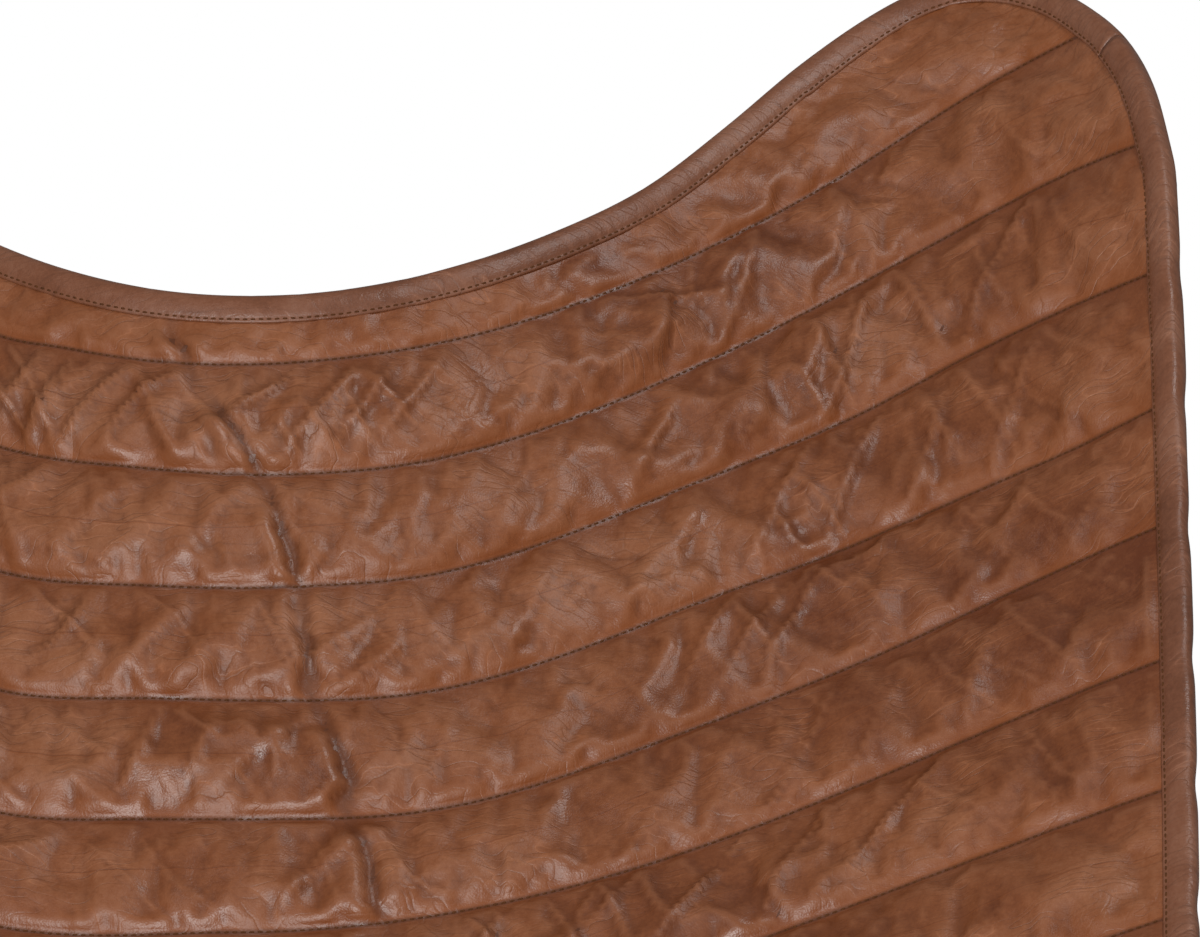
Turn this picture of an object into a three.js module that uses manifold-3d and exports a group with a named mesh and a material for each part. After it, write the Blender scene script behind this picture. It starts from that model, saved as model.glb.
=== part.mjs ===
import * as THREE from 'three';
import { mergeVertices } from 'three/addons/utils/BufferGeometryUtils.js';
import Module from 'manifold-3d';

// Butterfly sling chair: a quilted leather sling hung by four corner pockets
// on two bent steel rod loops that are welded where they cross.
// Millimetres, +Z up, the front of the chair towards -Y.

// Rod frame
const ROD_DIAMETER = 12;
const ROD_CROSSING_GAP = 0.8;
const CROSSING_BOW_REACH = 250;
const TOP_BEND_RADIUS = 50;
const FLOOR_BEND_RADIUS = 42;
const BACK_APEX_HALF_WIDTH = 366;
const BACK_APEX_BEHIND_WING = 87.3;
const BACK_APEX_ABOVE_WING = 46;
const FRONT_APEX_HALF_WIDTH = 366;
const FRONT_APEX_BEFORE_WING = 20;
const FRONT_APEX_BELOW_WING = 3;
const FOOT_HALF_WIDTH = 325;
const FRONT_FOOT_DEPTH = 230;
const BACK_FOOT_DEPTH = 230;
const WELD_RADIUS = 8.5;

// Floor glides
const GLIDE_LENGTH = 38;
const GLIDE_WIDTH = 20;
const GLIDE_SOLE = 2.5;
const GLIDE_CORNER_RADIUS = 6;

// Centre line of the sling, from the back edge to the front edge
const BACK_TOP_DEPTH = 312;
const BACK_TOP_HEIGHT = 753;
const BACK_LEAN_DEGREES = 28.5;
const BACK_CURVE_REACH = 430;
const SEAT_FRONT_DEPTH = 295;
const SEAT_FRONT_HEIGHT = 382;
const SEAT_RISE_DEGREES = 20;
const SEAT_CURVE_REACH = 300;

// Side edge of the sling, from the back wing to the front wing
const WING_DEPTH = 405;
const WING_HEIGHT = 881;
const WING_LEAN_DEGREES = 36;
const WING_CURVE_REACH = 750;
const FRONT_WING_DEPTH = 345;
const FRONT_WING_HEIGHT = 548;
const FRONT_WING_RISE_DEGREES = 26;
const FRONT_WING_CURVE_REACH = 260;
const BACK_HALF_WIDTH = 388;
const MIDDLE_HALF_WIDTH = 420;
const FRONT_HALF_WIDTH = 379;
const WING_FULLNESS = 72;

// Quilting: rows of stitching that run from side to side
const ROW_PITCH = 54;
const FIRST_ROW_INSET = 33;
const HIDE_SEAM_ROW = 9;
const LAST_ROW = 16;
const SEAT_LAST_ROW = 17;

// Leather, padding and binding
const FACE_THICKNESS = 1.2;
const LINING_THICKNESS = 1.1;
const SEWN_PADDING_THICKNESS = 0.6;
const CHANNEL_CROWN = 6;
const PADDING_CROWN = 2.8;
const CROWN_RIM_START = 33;
const CROWN_RIM_REACH = 55;
const LAYER_GAP = 0.7;
const PADDING_GAP = 1;
const SEAM_GAP = 0.7;
const BINDING_WIDTH = 12;
const BINDING_THICKNESS = 1.2;
const BINDING_GAP = 1.1;
const BINDING_JOIN_GAP = 0.4;

// Corner pockets
const POCKET_THICKNESS = 1.4;
const POCKET_CLEARANCE = 2.2;
const POCKET_SLOPE_REACH = 33;
const HEM_WIDTH = 9;
const HEM_THICKNESS = 1.1;

// Shares of the half width and, beside them, rows counted from the back edge
const COLUMN_SHARES = [0, 0.24, 0.43, 0.55, 0.67, 0.79, 0.89, 0.96, 1];
const BACK_EDGE_SHARES = [
  [0, 0.4], [0.2, 0.4], [0.34, 0.38], [0.43, 0.33], [0.52, 0.15], [0.6, -0.02], [0.68, -0.09],
  [0.75, -0.04], [0.83, 0.21], [0.89, 0.52], [0.93, 0.83], [0.96, 1.14], [0.985, 1.6], [1, 2.2],
];
const FRONT_EDGE_SHARES = [
  [0, 15.34], [0.25, 15.5], [0.4, 15.92], [0.5, 16.4], [0.6, 16.9], [0.7, 17.17], [0.8, 17.25],
  [0.88, 17.15], [0.94, 16.87], [0.98, 16.4], [1, 15.8],
];
const EDGE_ROW_SHARE = 0.0748780;
const EDGE_ROW_EASE_SHARE = 0.00064478;
const SAG_SHARE_BACK = 0.7;
const SAG_SHARE_FRONT = 0.42;
const FULLNESS_END_SHARE = 0.62;
const BOW_SHARES = [-1, -0.5, 0, 0.5, 1];
const BACK_POCKET_SHARE = 0.43;
const FRONT_POCKET_SHARE = 0.67;
const BINDING_JOIN_SHARE = 0.96;
const POCKET_RISE_SHARE = 0.55;

// Where the mouth of each pocket lies, one place for each place of the rim that
// the pocket is sewn to, from its inner end to its end on the side edge
const BACK_MOUTH_SHARES = [
  [0.43, 0.6], [0.55, 0.8], [0.66, 1.42], [0.74, 1.85], [0.8, 2.2],
  [0.85, 2.5], [0.88, 2.75], [0.91, 3], [0.938, 3.3], [0.965, 3.6],
];
const FRONT_MOUTH_SHARES = [
  [0.68, 15.75], [0.74, 15.5], [0.8, 15.2], [0.85, 14.9], [0.88, 14.65],
  [0.905, 14.45], [0.93, 14.2], [0.95, 14.05], [0.967, 13.9],
];

const ROD_RADIUS = ROD_DIAMETER / 2;
const ROD_SIDES = 10;
const FACE_STEPS = 3;
const LAYER_STEPS = 2;
const TOP_BEND_STEPS = 7;
const FLOOR_BEND_STEPS = 6;
const FINE_BEND_STEPS = 24;
const LEVELLING_PASSES = 6;
const BEAD_SIDES = 10;
const MERGE_DISTANCE = 1e-3;
const SLOPE_STEP_SHARE = 1e-3;

const COLOURS = {
  leather: 0x84502f,
  lining: 0x6f4630,
  padding: 0xd9d4c8,
  rod: 0x17181a,
  weld: 0x1d1e20,
  glide: 0x222222,
};

const wasm = await Module();
wasm.setup();

// A Hermite curve through a table of (place, value) pairs with uneven steps
function throughTable(table, place) {
  const last = table.length - 1;
  let k = 0;
  while (k < last - 1 && place > table[k + 1][0]) k += 1;
  const slope = (i) => {
    const before = Math.max(0, i - 1);
    const after = Math.min(last, i + 1);
    return (table[after][1] - table[before][1]) / (table[after][0] - table[before][0]);
  };
  const step = table[k + 1][0] - table[k][0];
  const f = THREE.MathUtils.clamp((place - table[k][0]) / step, 0, 1);
  const rise = f * f * (3 - 2 * f);
  return table[k][1] * (1 - rise) + table[k + 1][1] * rise
    + step * (slope(k) * f * (1 - f) * (1 - f) - slope(k + 1) * f * f * (1 - f));
}

// A side-view curve whose two ends carry on straight
function sideCurve(start, startLean, startReach, end, endRise, endReach) {
  const lean = THREE.MathUtils.degToRad(startLean);
  const rise = THREE.MathUtils.degToRad(endRise);
  const curve = new THREE.CubicBezierCurve(
    start,
    new THREE.Vector2(start.x - startReach * Math.sin(lean), start.y - startReach * Math.cos(lean)),
    new THREE.Vector2(end.x + endReach * Math.cos(rise), end.y - endReach * Math.sin(rise)),
    end,
  );
  curve.arcLengthDivisions = 400;
  const length = curve.getLength();
  const into = curve.getTangentAt(0);
  const out = curve.getTangentAt(1);
  const at = (distance) => {
    if (distance < 0) return start.clone().addScaledVector(into, distance);
    if (distance > length) return end.clone().addScaledVector(out, distance - length);
    return curve.getPointAt(distance / length);
  };
  return { at, length };
}

const centreLine = sideCurve(
  new THREE.Vector2(BACK_TOP_DEPTH, BACK_TOP_HEIGHT), BACK_LEAN_DEGREES, BACK_CURVE_REACH,
  new THREE.Vector2(-SEAT_FRONT_DEPTH, SEAT_FRONT_HEIGHT), SEAT_RISE_DEGREES, SEAT_CURVE_REACH,
);
const sideEdge = sideCurve(
  new THREE.Vector2(WING_DEPTH, WING_HEIGHT), WING_LEAN_DEGREES, WING_CURVE_REACH,
  new THREE.Vector2(-FRONT_WING_DEPTH, FRONT_WING_HEIGHT), FRONT_WING_RISE_DEGREES,
  FRONT_WING_CURVE_REACH,
);

// A point of the sling's middle surface: share runs from -1 at the left edge to
// 1 at the right edge, and row counts the stitched rows from the back edge
function slingPoint(share, row) {
  const centre = centreLine.at(FIRST_ROW_INSET + (row - 1) * ROW_PITCH);
  const rowShare = (row - 1) * EDGE_ROW_SHARE - (row - 1) ** 2 * EDGE_ROW_EASE_SHARE;
  const edge = sideEdge.at(rowShare * sideEdge.length);
  const along = THREE.MathUtils.clamp(row / LAST_ROW, 0, 1);
  const halfWidth = BACK_HALF_WIDTH * (1 - along) ** 2
    + 2 * MIDDLE_HALF_WIDTH * along * (1 - along) + FRONT_HALF_WIDTH * along ** 2;
  const bend = Math.PI * THREE.MathUtils.lerp(SAG_SHARE_BACK, SAG_SHARE_FRONT, along);
  const across = Math.abs(share);
  const lift = (1 - Math.cos(bend * across)) / (1 - Math.cos(bend));
  const fade = THREE.MathUtils.smoothstep(1 - along / FULLNESS_END_SHARE, 0, 1);
  const fullness = 4 * WING_FULLNESS * fade * across ** 2 * (1 - across ** 2);
  return new THREE.Vector3(
    halfWidth * share,
    centre.x + (edge.x - centre.x) * lift + fullness,
    centre.y + (edge.y - centre.y) * lift,
  );
}

// The sling's middle surface with its slopes; the normal points to the sitter
function slingFrame(share, row) {
  const step = SLOPE_STEP_SHARE;
  const acrossSlope = slingPoint(share + step, row).sub(slingPoint(share - step, row));
  const rowSlope = slingPoint(share, row + step).sub(slingPoint(share, row - step));
  acrossSlope.divideScalar(2 * step);
  rowSlope.divideScalar(2 * step);
  const normal = rowSlope.clone().cross(acrossSlope).normalize();
  return { point: slingPoint(share, row), acrossSlope, rowSlope, normal };
}

// A point that stands off the middle surface along its normal
function offSling(share, row, offset) {
  const frame = slingFrame(share, row);
  return frame.point.addScaledVector(frame.normal, offset);
}

const backEdgeRow = (share) => throughTable(BACK_EDGE_SHARES, Math.abs(share));
const frontEdgeRow = (share) => throughTable(FRONT_EDGE_SHARES, Math.abs(share));
const columns = [...COLUMN_SHARES.slice(1).reverse().map((share) => -share), ...COLUMN_SHARES];

// One closed body between an upper and a lower grid of points; zero-size faces
// that a pinched row or column leaves are dropped
function slab(upper, lower) {
  const rows = upper.length;
  const count = upper[0].length;
  const points = [...upper.flat(), ...lower.flat()];
  const top = (r, c) => r * count + c;
  const bottom = (r, c) => rows * count + r * count + c;
  const faces = [];
  const quad = (a, b, c, d) => faces.push([a, b, c], [a, c, d]);
  for (let c = 0; c < count - 1; c += 1) {
    quad(top(0, c), top(0, c + 1), bottom(0, c + 1), bottom(0, c));
    quad(top(rows - 1, c), bottom(rows - 1, c), bottom(rows - 1, c + 1), top(rows - 1, c + 1));
  }
  for (let r = rows - 2; r >= 0; r -= 1) {
    quad(top(r, 0), bottom(r, 0), bottom(r + 1, 0), top(r + 1, 0));
    quad(top(r, count - 1), top(r + 1, count - 1), bottom(r + 1, count - 1), bottom(r, count - 1));
    for (let c = 0; c < count - 1; c += 1) {
      faces.push([bottom(r, c), bottom(r + 1, c + 1), bottom(r + 1, c)]);
      faces.push([bottom(r, c), bottom(r, c + 1), bottom(r + 1, c + 1)]);
      quad(top(r, c), top(r + 1, c), top(r + 1, c + 1), top(r, c + 1));
    }
  }
  return closedBody(points, faces);
}

// One closed body swept through rings of points; open sweeps get two end faces.
// The side that is named turned has its faces split the other way
function sweep(rings, closed, turned = -1) {
  const count = rings[0].length;
  const faces = [];
  const quad = (a, b, c, d) => faces.push([a, b, c], [a, c, d]);
  const links = closed ? rings.length : rings.length - 1;
  for (let r = 0; r < links; r += 1) {
    const here = r * count;
    const next = ((r + 1) % rings.length) * count;
    for (let i = 0; i < count; i += 1) {
      const j = (i + 1) % count;
      if (i === turned) quad(here + j, next + j, next + i, here + i);
      else quad(here + i, here + j, next + j, next + i);
    }
  }
  const last = (rings.length - 1) * count;
  for (let i = 0; !closed && i < count / 2 - 1; i += 1) {
    const opposite = count - 1 - i;
    quad(i, opposite, opposite - 1, i + 1);
    quad(last + i, last + i + 1, last + opposite - 1, last + opposite);
  }
  return closedBody(rings.flat(), faces);
}

// Merges shared corners, drops zero-size faces and turns the body outside out
function closedBody(points, faces) {
  const geometry = new THREE.BufferGeometry().setFromPoints(points);
  geometry.setIndex(faces.flat());
  const merged = mergeVertices(geometry, MERGE_DISTANCE);
  const index = merged.getIndex().array;
  const kept = [];
  let volume = 0;
  for (let i = 0; i < index.length; i += 3) {
    const [a, b, c] = [index[i], index[i + 1], index[i + 2]];
    if (a !== b && b !== c && c !== a) {
      kept.push(a, b, c);
      const [p, q, r] = [a, b, c].map((k) => new THREE.Vector3().fromBufferAttribute(
        merged.getAttribute('position'), k));
      volume += p.dot(q.cross(r));
    }
  }
  merged.setIndex(volume < 0 ? kept.reverse() : kept);
  return merged;
}

function toSolid(geometry) {
  const bare = geometry.clone();
  bare.deleteAttribute('normal');
  bare.deleteAttribute('uv');
  const merged = mergeVertices(bare, MERGE_DISTANCE);
  return new wasm.Manifold(new wasm.Mesh({
    numProp: 3,
    vertProperties: new Float32Array(merged.getAttribute('position').array),
    triVerts: new Uint32Array(merged.getIndex().array),
  }));
}

function fromSolid(solid) {
  const mesh = solid.getMesh();
  const geometry = new THREE.BufferGeometry();
  geometry.setAttribute('position', new THREE.BufferAttribute(mesh.vertProperties, 3));
  geometry.setIndex(new THREE.BufferAttribute(mesh.triVerts, 1));
  return geometry;
}

const chair = new THREE.Group();

function addPiece(name, geometry, colour, roughness, metalness = 0) {
  geometry.computeVertexNormals();
  const material = new THREE.MeshStandardMaterial({ color: colour, roughness, metalness });
  const mesh = new THREE.Mesh(geometry, material);
  mesh.name = name;
  chair.add(mesh);
  return mesh;
}

// The rod frame: loop A stands on the left front and right back feet, and loop B
// is its mirror image; each loop joins two feet to two top bends
const restingHeight = GLIDE_SOLE + ROD_RADIUS;
const backApex = (side) => new THREE.Vector3(
  side * BACK_APEX_HALF_WIDTH, WING_DEPTH + BACK_APEX_BEHIND_WING,
  WING_HEIGHT + BACK_APEX_ABOVE_WING);
const frontApex = (side) => new THREE.Vector3(
  side * FRONT_APEX_HALF_WIDTH, -FRONT_WING_DEPTH - FRONT_APEX_BEFORE_WING,
  FRONT_WING_HEIGHT - FRONT_APEX_BELOW_WING);

// A round bend between two straight legs that would meet at the corner
function roundBend(corner, before, after, radius, steps) {
  const back = before.clone().sub(corner).normalize();
  const forth = after.clone().sub(corner).normalize();
  const half = back.angleTo(forth) / 2;
  const inward = back.clone().add(forth).normalize();
  const sideways = forth.clone().sub(back).normalize();
  const centre = corner.clone().addScaledVector(inward, radius / Math.sin(half));
  const sweepAngle = Math.PI / 2 - half;
  const points = Array.from({ length: steps + 1 }, (_, i) => {
    const angle = THREE.MathUtils.lerp(-sweepAngle, sweepAngle, i / steps);
    return centre.clone().addScaledVector(inward, -radius * Math.cos(angle))
      .addScaledVector(sideways, radius * Math.sin(angle));
  });
  return { points, sideways };
}

// The corner of a floor bend, lowered until its lowest point rests in the glide
function footCorner(side, depth, before, after) {
  const corner = new THREE.Vector3(side * FOOT_HALF_WIDTH, depth, 0);
  for (let pass = 0; pass < LEVELLING_PASSES; pass += 1) {
    const bend = roundBend(corner, before, after, FLOOR_BEND_RADIUS, FINE_BEND_STEPS);
    corner.z += restingHeight - Math.min(...bend.points.map((p) => p.z));
  }
  return corner;
}

function loopCorners(side) {
  const top = frontApex(side);
  const far = backApex(-side);
  const topBend = (corner) => ({ corner, radius: TOP_BEND_RADIUS, steps: TOP_BEND_STEPS });
  const floorBend = (across, depth, before, after) => ({
    corner: footCorner(across, depth, before, after),
    radius: FLOOR_BEND_RADIUS,
    steps: FLOOR_BEND_STEPS,
  });
  return {
    front_top: topBend(top),
    back_foot: floorBend(side, BACK_FOOT_DEPTH, top, far),
    back_top: topBend(far),
    front_foot: floorBend(-side, -FRONT_FOOT_DEPTH, far, top),
  };
}

// Corners in the order in which the rod passes them; each leg has the name of
// the corner that it starts from
const loops = { a: loopCorners(1), b: loopCorners(-1) };
const cornerOrder = Object.keys(loops.a);
const cornerAfter = (name) => cornerOrder.at(cornerOrder.indexOf(name) + 1 - cornerOrder.length);
const cornerBefore = (name) => cornerOrder.at(cornerOrder.indexOf(name) - 1);

// Where two legs cross: the middle between them, and the way out of the chair
function crossing(legs) {
  const ends = (name) => [loops[name][legs[name]], loops[name][cornerAfter(legs[name])]]
    .map((bend) => bend.corner);
  const [startA, endA] = ends('a');
  const [startB, endB] = ends('b');
  const a = endA.clone().sub(startA).normalize();
  const b = endB.clone().sub(startB).normalize();
  const between = startB.clone().sub(startA);
  const slant = a.dot(b);
  const alongA = (between.dot(a) - between.dot(b) * slant) / (1 - slant * slant);
  const pointA = startA.clone().addScaledVector(a, alongA);
  const pointB = startB.clone().addScaledVector(b, alongA * slant - between.dot(b));
  const middle = pointA.clone().add(pointB).divideScalar(2);
  const outward = a.clone().cross(b).normalize();
  outward.multiplyScalar(Math.sign(outward.dot(new THREE.Vector3(middle.x, middle.y, 0))));
  return { legs, middle, outward, points: { a: pointA, b: pointB } };
}

const crossings = {
  right: crossing({ a: 'front_top', b: 'back_top' }),
  back: crossing({ a: 'back_foot', b: 'back_foot' }),
  left: crossing({ a: 'back_top', b: 'front_top' }),
  front: crossing({ a: 'front_foot', b: 'front_foot' }),
};
const crossingOffset = (ROD_DIAMETER + ROD_CROSSING_GAP) / 2;

// Where the rod's middle lies at a crossing; loop A passes outside loop B
function rodAtCrossing(name, cross) {
  const way = name === 'a' ? crossingOffset : -crossingOffset;
  return cross.middle.clone().addScaledVector(cross.outward, way);
}

function loopPath(name) {
  const corners = loops[name];
  const points = [];
  for (const [leg, { corner, radius, steps }] of Object.entries(corners)) {
    const [before, after] = [corners[cornerBefore(leg)].corner, corners[cornerAfter(leg)].corner];
    points.push(...roundBend(corner, before, after, radius, steps).points);
    const cross = Object.values(crossings).find((item) => item.legs[name] === leg);
    const shift = rodAtCrossing(name, cross).sub(cross.points[name]);
    const along = after.clone().sub(corner).normalize();
    for (const share of BOW_SHARES) {
      const bow = (1 + Math.cos(Math.PI * share)) / 2;
      points.push(cross.points[name].clone().addScaledVector(along, share * CROSSING_BOW_REACH)
        .addScaledVector(shift, bow));
    }
  }
  return points;
}

// Directions and cross axes along a closed list of points
class ClosedPath extends THREE.Curve {
  constructor(points) {
    super();
    this.points = points;
  }

  pointNear(place) {
    const count = this.points.length;
    return this.points[((Math.round(place) % count) + count) % count];
  }

  getTangentAt(u) {
    const place = Math.round(u * this.points.length);
    const before = this.pointNear(place).clone().sub(this.pointNear(place - 1)).normalize();
    return this.pointNear(place + 1).clone().sub(this.pointNear(place)).normalize()
      .add(before).normalize();
  }
}

function rodLoop(name, radius) {
  const points = loopPath(name);
  const frames = new ClosedPath(points).computeFrenetFrames(points.length, true);
  const rings = points.map((point, i) => Array.from({ length: ROD_SIDES }, (_, k) => {
    const angle = (2 * Math.PI * k) / ROD_SIDES;
    return point.clone().addScaledVector(frames.normals[i], radius * Math.cos(angle))
      .addScaledVector(frames.binormals[i], radius * Math.sin(angle));
  }));
  return sweep(rings, true);
}

function weldBead(cross) {
  const bead = new THREE.SphereGeometry(WELD_RADIUS, BEAD_SIDES, BEAD_SIDES / 2 + 1);
  bead.translate(...cross.middle);
  let solid = toSolid(bead);
  for (const name of ['a', 'b']) {
    solid = solid.subtract(toSolid(rodLoop(name, ROD_RADIUS + ROD_CROSSING_GAP / 3)));
  }
  return fromSolid(solid);
}

// A moulded glide that cradles a floor bend and rests flat on the floor
function floorGlide(name, foot) {
  const corners = loops[name];
  const { corner, radius } = corners[foot];
  const bend = roundBend(
    corner, corners[cornerBefore(foot)].corner, corners[cornerAfter(foot)].corner, radius,
    FINE_BEND_STEPS);
  const lowest = bend.points.reduce((low, p) => (p.z < low.z ? p : low));
  const outline = new THREE.Shape();
  const [halfLength, halfWidth, round] = [GLIDE_LENGTH / 2, GLIDE_WIDTH / 2, GLIDE_CORNER_RADIUS];
  const quarters = [[1, 1, 0], [-1, 1, 0.5], [-1, -1, 1], [1, -1, 1.5]];
  quarters.forEach(([x, y, turn]) => outline.absarc(
    x * (halfLength - round), y * (halfWidth - round), round,
    turn * Math.PI, (turn + 0.5) * Math.PI, false));
  const block = new THREE.ExtrudeGeometry(
    outline, { depth: restingHeight, bevelEnabled: false, curveSegments: 4 });
  block.rotateZ(Math.atan2(bend.sideways.y, bend.sideways.x));
  block.translate(lowest.x, lowest.y, 0);
  return fromSolid(toSolid(block).subtract(toSolid(rodLoop(name, ROD_RADIUS + LAYER_GAP))));
}

// The layers of the sling, by their distance from its middle surface
const liningTop = -LAYER_GAP;
const liningBottom = liningTop - LINING_THICKNESS;
const faceBottom = SEWN_PADDING_THICKNESS + PADDING_GAP;
const faceTop = faceBottom + FACE_THICKNESS;
const pocketTop = liningBottom - SEAM_GAP;
const pocketBottom = pocketTop - POCKET_THICKNESS;
const RIM_STRIP = BINDING_WIDTH + SEAM_GAP;

// The rim of the sling as (share, row) places, once round from the left back
const sideRows = [];
const sideStep = 1 / LAYER_STEPS;
const firstSideRow = Math.ceil(backEdgeRow(1) / sideStep) * sideStep;
for (let row = firstSideRow; row < frontEdgeRow(1) - sideStep / 2; row += sideStep) {
  sideRows.push(row);
}
const rim = [
  ...columns.map((share) => [share, backEdgeRow(share)]),
  ...sideRows.map((row) => [1, row]),
  ...[...columns].reverse().map((share) => [share, frontEdgeRow(share)]),
  ...[...sideRows].reverse().map((row) => [-1, row]),
];
const rimPoints = rim.map(([share, row]) => slingPoint(share, row));
const frontStart = columns.length + sideRows.length;

// The way along the rim at one of its places, and the place that lies a
// distance inward from it
function rimTangent(index) {
  const count = rim.length;
  return rimPoints[(index + 1) % count].clone()
    .sub(rimPoints[(index + count - 1) % count]).normalize();
}

function placeInside(index, distance) {
  const [share, row] = rim[index % rim.length];
  const frame = slingFrame(share, row);
  const inward = frame.normal.clone().cross(rimTangent(index)).normalize();
  const middle = slingPoint(0, HIDE_SEAM_ROW).sub(frame.point);
  inward.multiplyScalar(Math.sign(inward.dot(middle)) * distance);
  const [a, b] = [frame.acrossSlope, frame.rowSlope];
  const scale = a.dot(a) * b.dot(b) - a.dot(b) ** 2;
  const shareStep = (inward.dot(a) * b.dot(b) - inward.dot(b) * a.dot(b)) / scale;
  const rowStep = (inward.dot(b) * a.dot(a) - inward.dot(a) * a.dot(b)) / scale;
  return [share + shareStep, row + rowStep];
}

function rimDistance(point) {
  const line = new THREE.Line3();
  const nearest = new THREE.Vector3();
  return Math.min(...rimPoints.map((start, i) => {
    line.set(start, rimPoints[(i + 1) % rimPoints.length]);
    return line.closestPointToPoint(point, true, nearest).distanceTo(point);
  }));
}

// How far a place is puffed up: none on the seams or under the binding
function crownShare(share, row) {
  const bindingRows = BINDING_WIDTH / ROW_PITCH;
  const from = Math.max(Math.floor(row), backEdgeRow(share) + bindingRows);
  const to = Math.min(Math.floor(row) + 1, frontEdgeRow(share) - bindingRows);
  if (row <= from || row >= to) return 0;
  const across = (row - from) / (to - from);
  const inside = rimDistance(slingPoint(share, row)) - BINDING_WIDTH;
  const width = Math.min(1, to - from);
  return 4 * across * (1 - across) * width
    * THREE.MathUtils.smoothstep(inside, CROWN_RIM_START, CROWN_RIM_REACH);
}

// A grid of (share, row) places that follows the rim and keeps a row of places
// under each edge of the binding
function slingGrid(firstRow, lastRow, steps) {
  const stripRows = RIM_STRIP / ROW_PITCH;
  const nominal = [];
  for (let i = Math.round(firstRow * steps); i <= Math.round(lastRow * steps); i += 1) {
    nominal.push(i / steps);
  }
  const toBack = firstRow < HIDE_SEAM_ROW;
  const edge = columns.map((share) => [share, toBack ? backEdgeRow(share) : frontEdgeRow(share)]);
  const strip = edge.map(([share, row], column) => {
    if (Math.abs(share) === 1) return [share, toBack ? row + stripRows : row - stripRows];
    const index = toBack ? column : frontStart + columns.length - 1 - column;
    return placeInside(index, RIM_STRIP);
  });
  const grid = nominal.map((row) => columns.map((share, column) => {
    const line = strip[column][1];
    const past = toBack ? row > line : row < line;
    return past ? [share, row] : strip[column];
  }));
  grid[toBack ? 'unshift' : 'push'](edge);
  const seam = toBack ? grid[grid.length - 1] : grid[0];
  const seamShift = (LAYER_GAP / 2 / ROW_PITCH) * (toBack ? -1 : 1);
  seam.forEach((place) => { place[1] += seamShift; });
  return grid;
}

function slingLayer(grid, upperOffset, lowerOffset) {
  const lift = (offset) => grid.map((places) => places.map(
    ([share, row]) => offSling(share, row, offset(crownShare(share, row)))));
  return slab(lift(upperOffset), lift(lowerOffset));
}

// The four pockets: the stretch of the rim that each is sewn to, the line of
// its mouth, and the rod bend that it holds
const backColumns = columns.length - columns.indexOf(BACK_POCKET_SHARE);
const frontColumns = columns.length - columns.indexOf(FRONT_POCKET_SHARE);
const pockets = [
  { name: 'back_right', side: 1, first: columns.indexOf(BACK_POCKET_SHARE), back: true },
  { name: 'front_right', side: 1, first: frontStart + frontColumns - FRONT_MOUTH_SHARES.length,
    back: false },
  { name: 'front_left', side: -1, first: frontStart + columns.length - frontColumns, back: false },
  { name: 'back_left', side: -1, first: rim.length + backColumns - BACK_MOUTH_SHARES.length,
    back: true },
];

// How far the panel stands off the middle surface to pass behind both rods
function pocketOffset(side, back, share, row, weight) {
  const frame = slingFrame(share, row);
  const name = back === (side > 0) ? 'b' : 'a';
  const corners = loops[name];
  const top = back ? 'back_top' : 'front_top';
  const apex = corners[top].corner;
  const away = corners[cornerBefore(top)].corner.clone().sub(apex)
    .cross(corners[cornerAfter(top)].corner.clone().sub(apex)).normalize();
  away.multiplyScalar(-Math.sign(away.dot(frame.normal)));
  const needed = ROD_RADIUS + POCKET_CLEARANCE - away.dot(frame.point.clone().sub(apex));
  const depth = needed / -away.dot(frame.normal);
  return Math.min(pocketTop, THREE.MathUtils.lerp(pocketTop, -depth, weight));
}

// The panel of a pocket as lines of places from the rim to the mouth
function pocketLines({ side, first, back }) {
  const mouth = back ? BACK_MOUTH_SHARES : FRONT_MOUTH_SHARES;
  const lines = mouth.map((_, k) => {
    const fromInner = (side > 0) === back;
    const [share, row] = mouth[fromInner ? k : mouth.length - 1 - k];
    const index = first + k;
    const sewn = placeInside(index, RIM_STRIP);
    const end = [side * share, row];
    const blend = (f) => sewn.map((value, i) => THREE.MathUtils.lerp(value, end[i], f));
    const room = slingPoint(...sewn).distanceTo(slingPoint(...end));
    const full = placeInside(index, POCKET_SLOPE_REACH);
    const near = room > POCKET_SLOPE_REACH ? full : blend(POCKET_RISE_SHARE);
    const middle = near.map((value, i) => THREE.MathUtils.lerp(value, end[i], 0.5));
    return [rim[index % rim.length], sewn, near, middle, end];
  });
  return lines;
}

function pocketGrids({ side, first, back }) {
  const lines = pocketLines({ side, first, back });
  const lift = (extra) => lines.map((line) => {
    const sewn = slingPoint(...line[1]);
    const points = line.map(([share, row], k) => {
      const past = k === 0 ? 0 : slingPoint(share, row).distanceTo(sewn);
      const weight = Math.min(1, past / (POCKET_SLOPE_REACH - RIM_STRIP));
      return offSling(share, row, pocketOffset(side, back, share, row, weight) + extra);
    });
    const [mouth, before] = [points[points.length - 1], points[points.length - 2]];
    const hemShare = Math.min(0.5, HEM_WIDTH / mouth.distanceTo(before));
    points.splice(points.length - 1, 0, mouth.clone().lerp(before, hemShare));
    return points;
  });
  return { upper: lift(0), lower: lift(-POCKET_THICKNESS) };
}

// Eight points of a strip folded round an edge: upper and lower are the inner
// ends and the edge ends of the two faces that the strip covers. Its inner sides
// start at the fifth point below the covered edge and at the seventh above it
const FOLD_LOWER_SIDE = 4;
const FOLD_UPPER_SIDE = 6;
function foldRing(upper, lower, outward, normals, gap, thickness) {
  const ring = [];
  for (const [reach, way] of [[gap + thickness, 1], [gap, -1]]) {
    const corners = [
      upper.inner.clone().addScaledVector(normals.inner, reach),
      upper.edge.clone().addScaledVector(normals.edge, reach).addScaledVector(outward, reach),
      lower.edge.clone().addScaledVector(normals.edge, -reach).addScaledVector(outward, reach),
      lower.inner.clone().addScaledVector(normals.inner, -reach),
    ];
    ring.push(...(way > 0 ? corners : corners.reverse()));
  }
  return ring;
}

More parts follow.
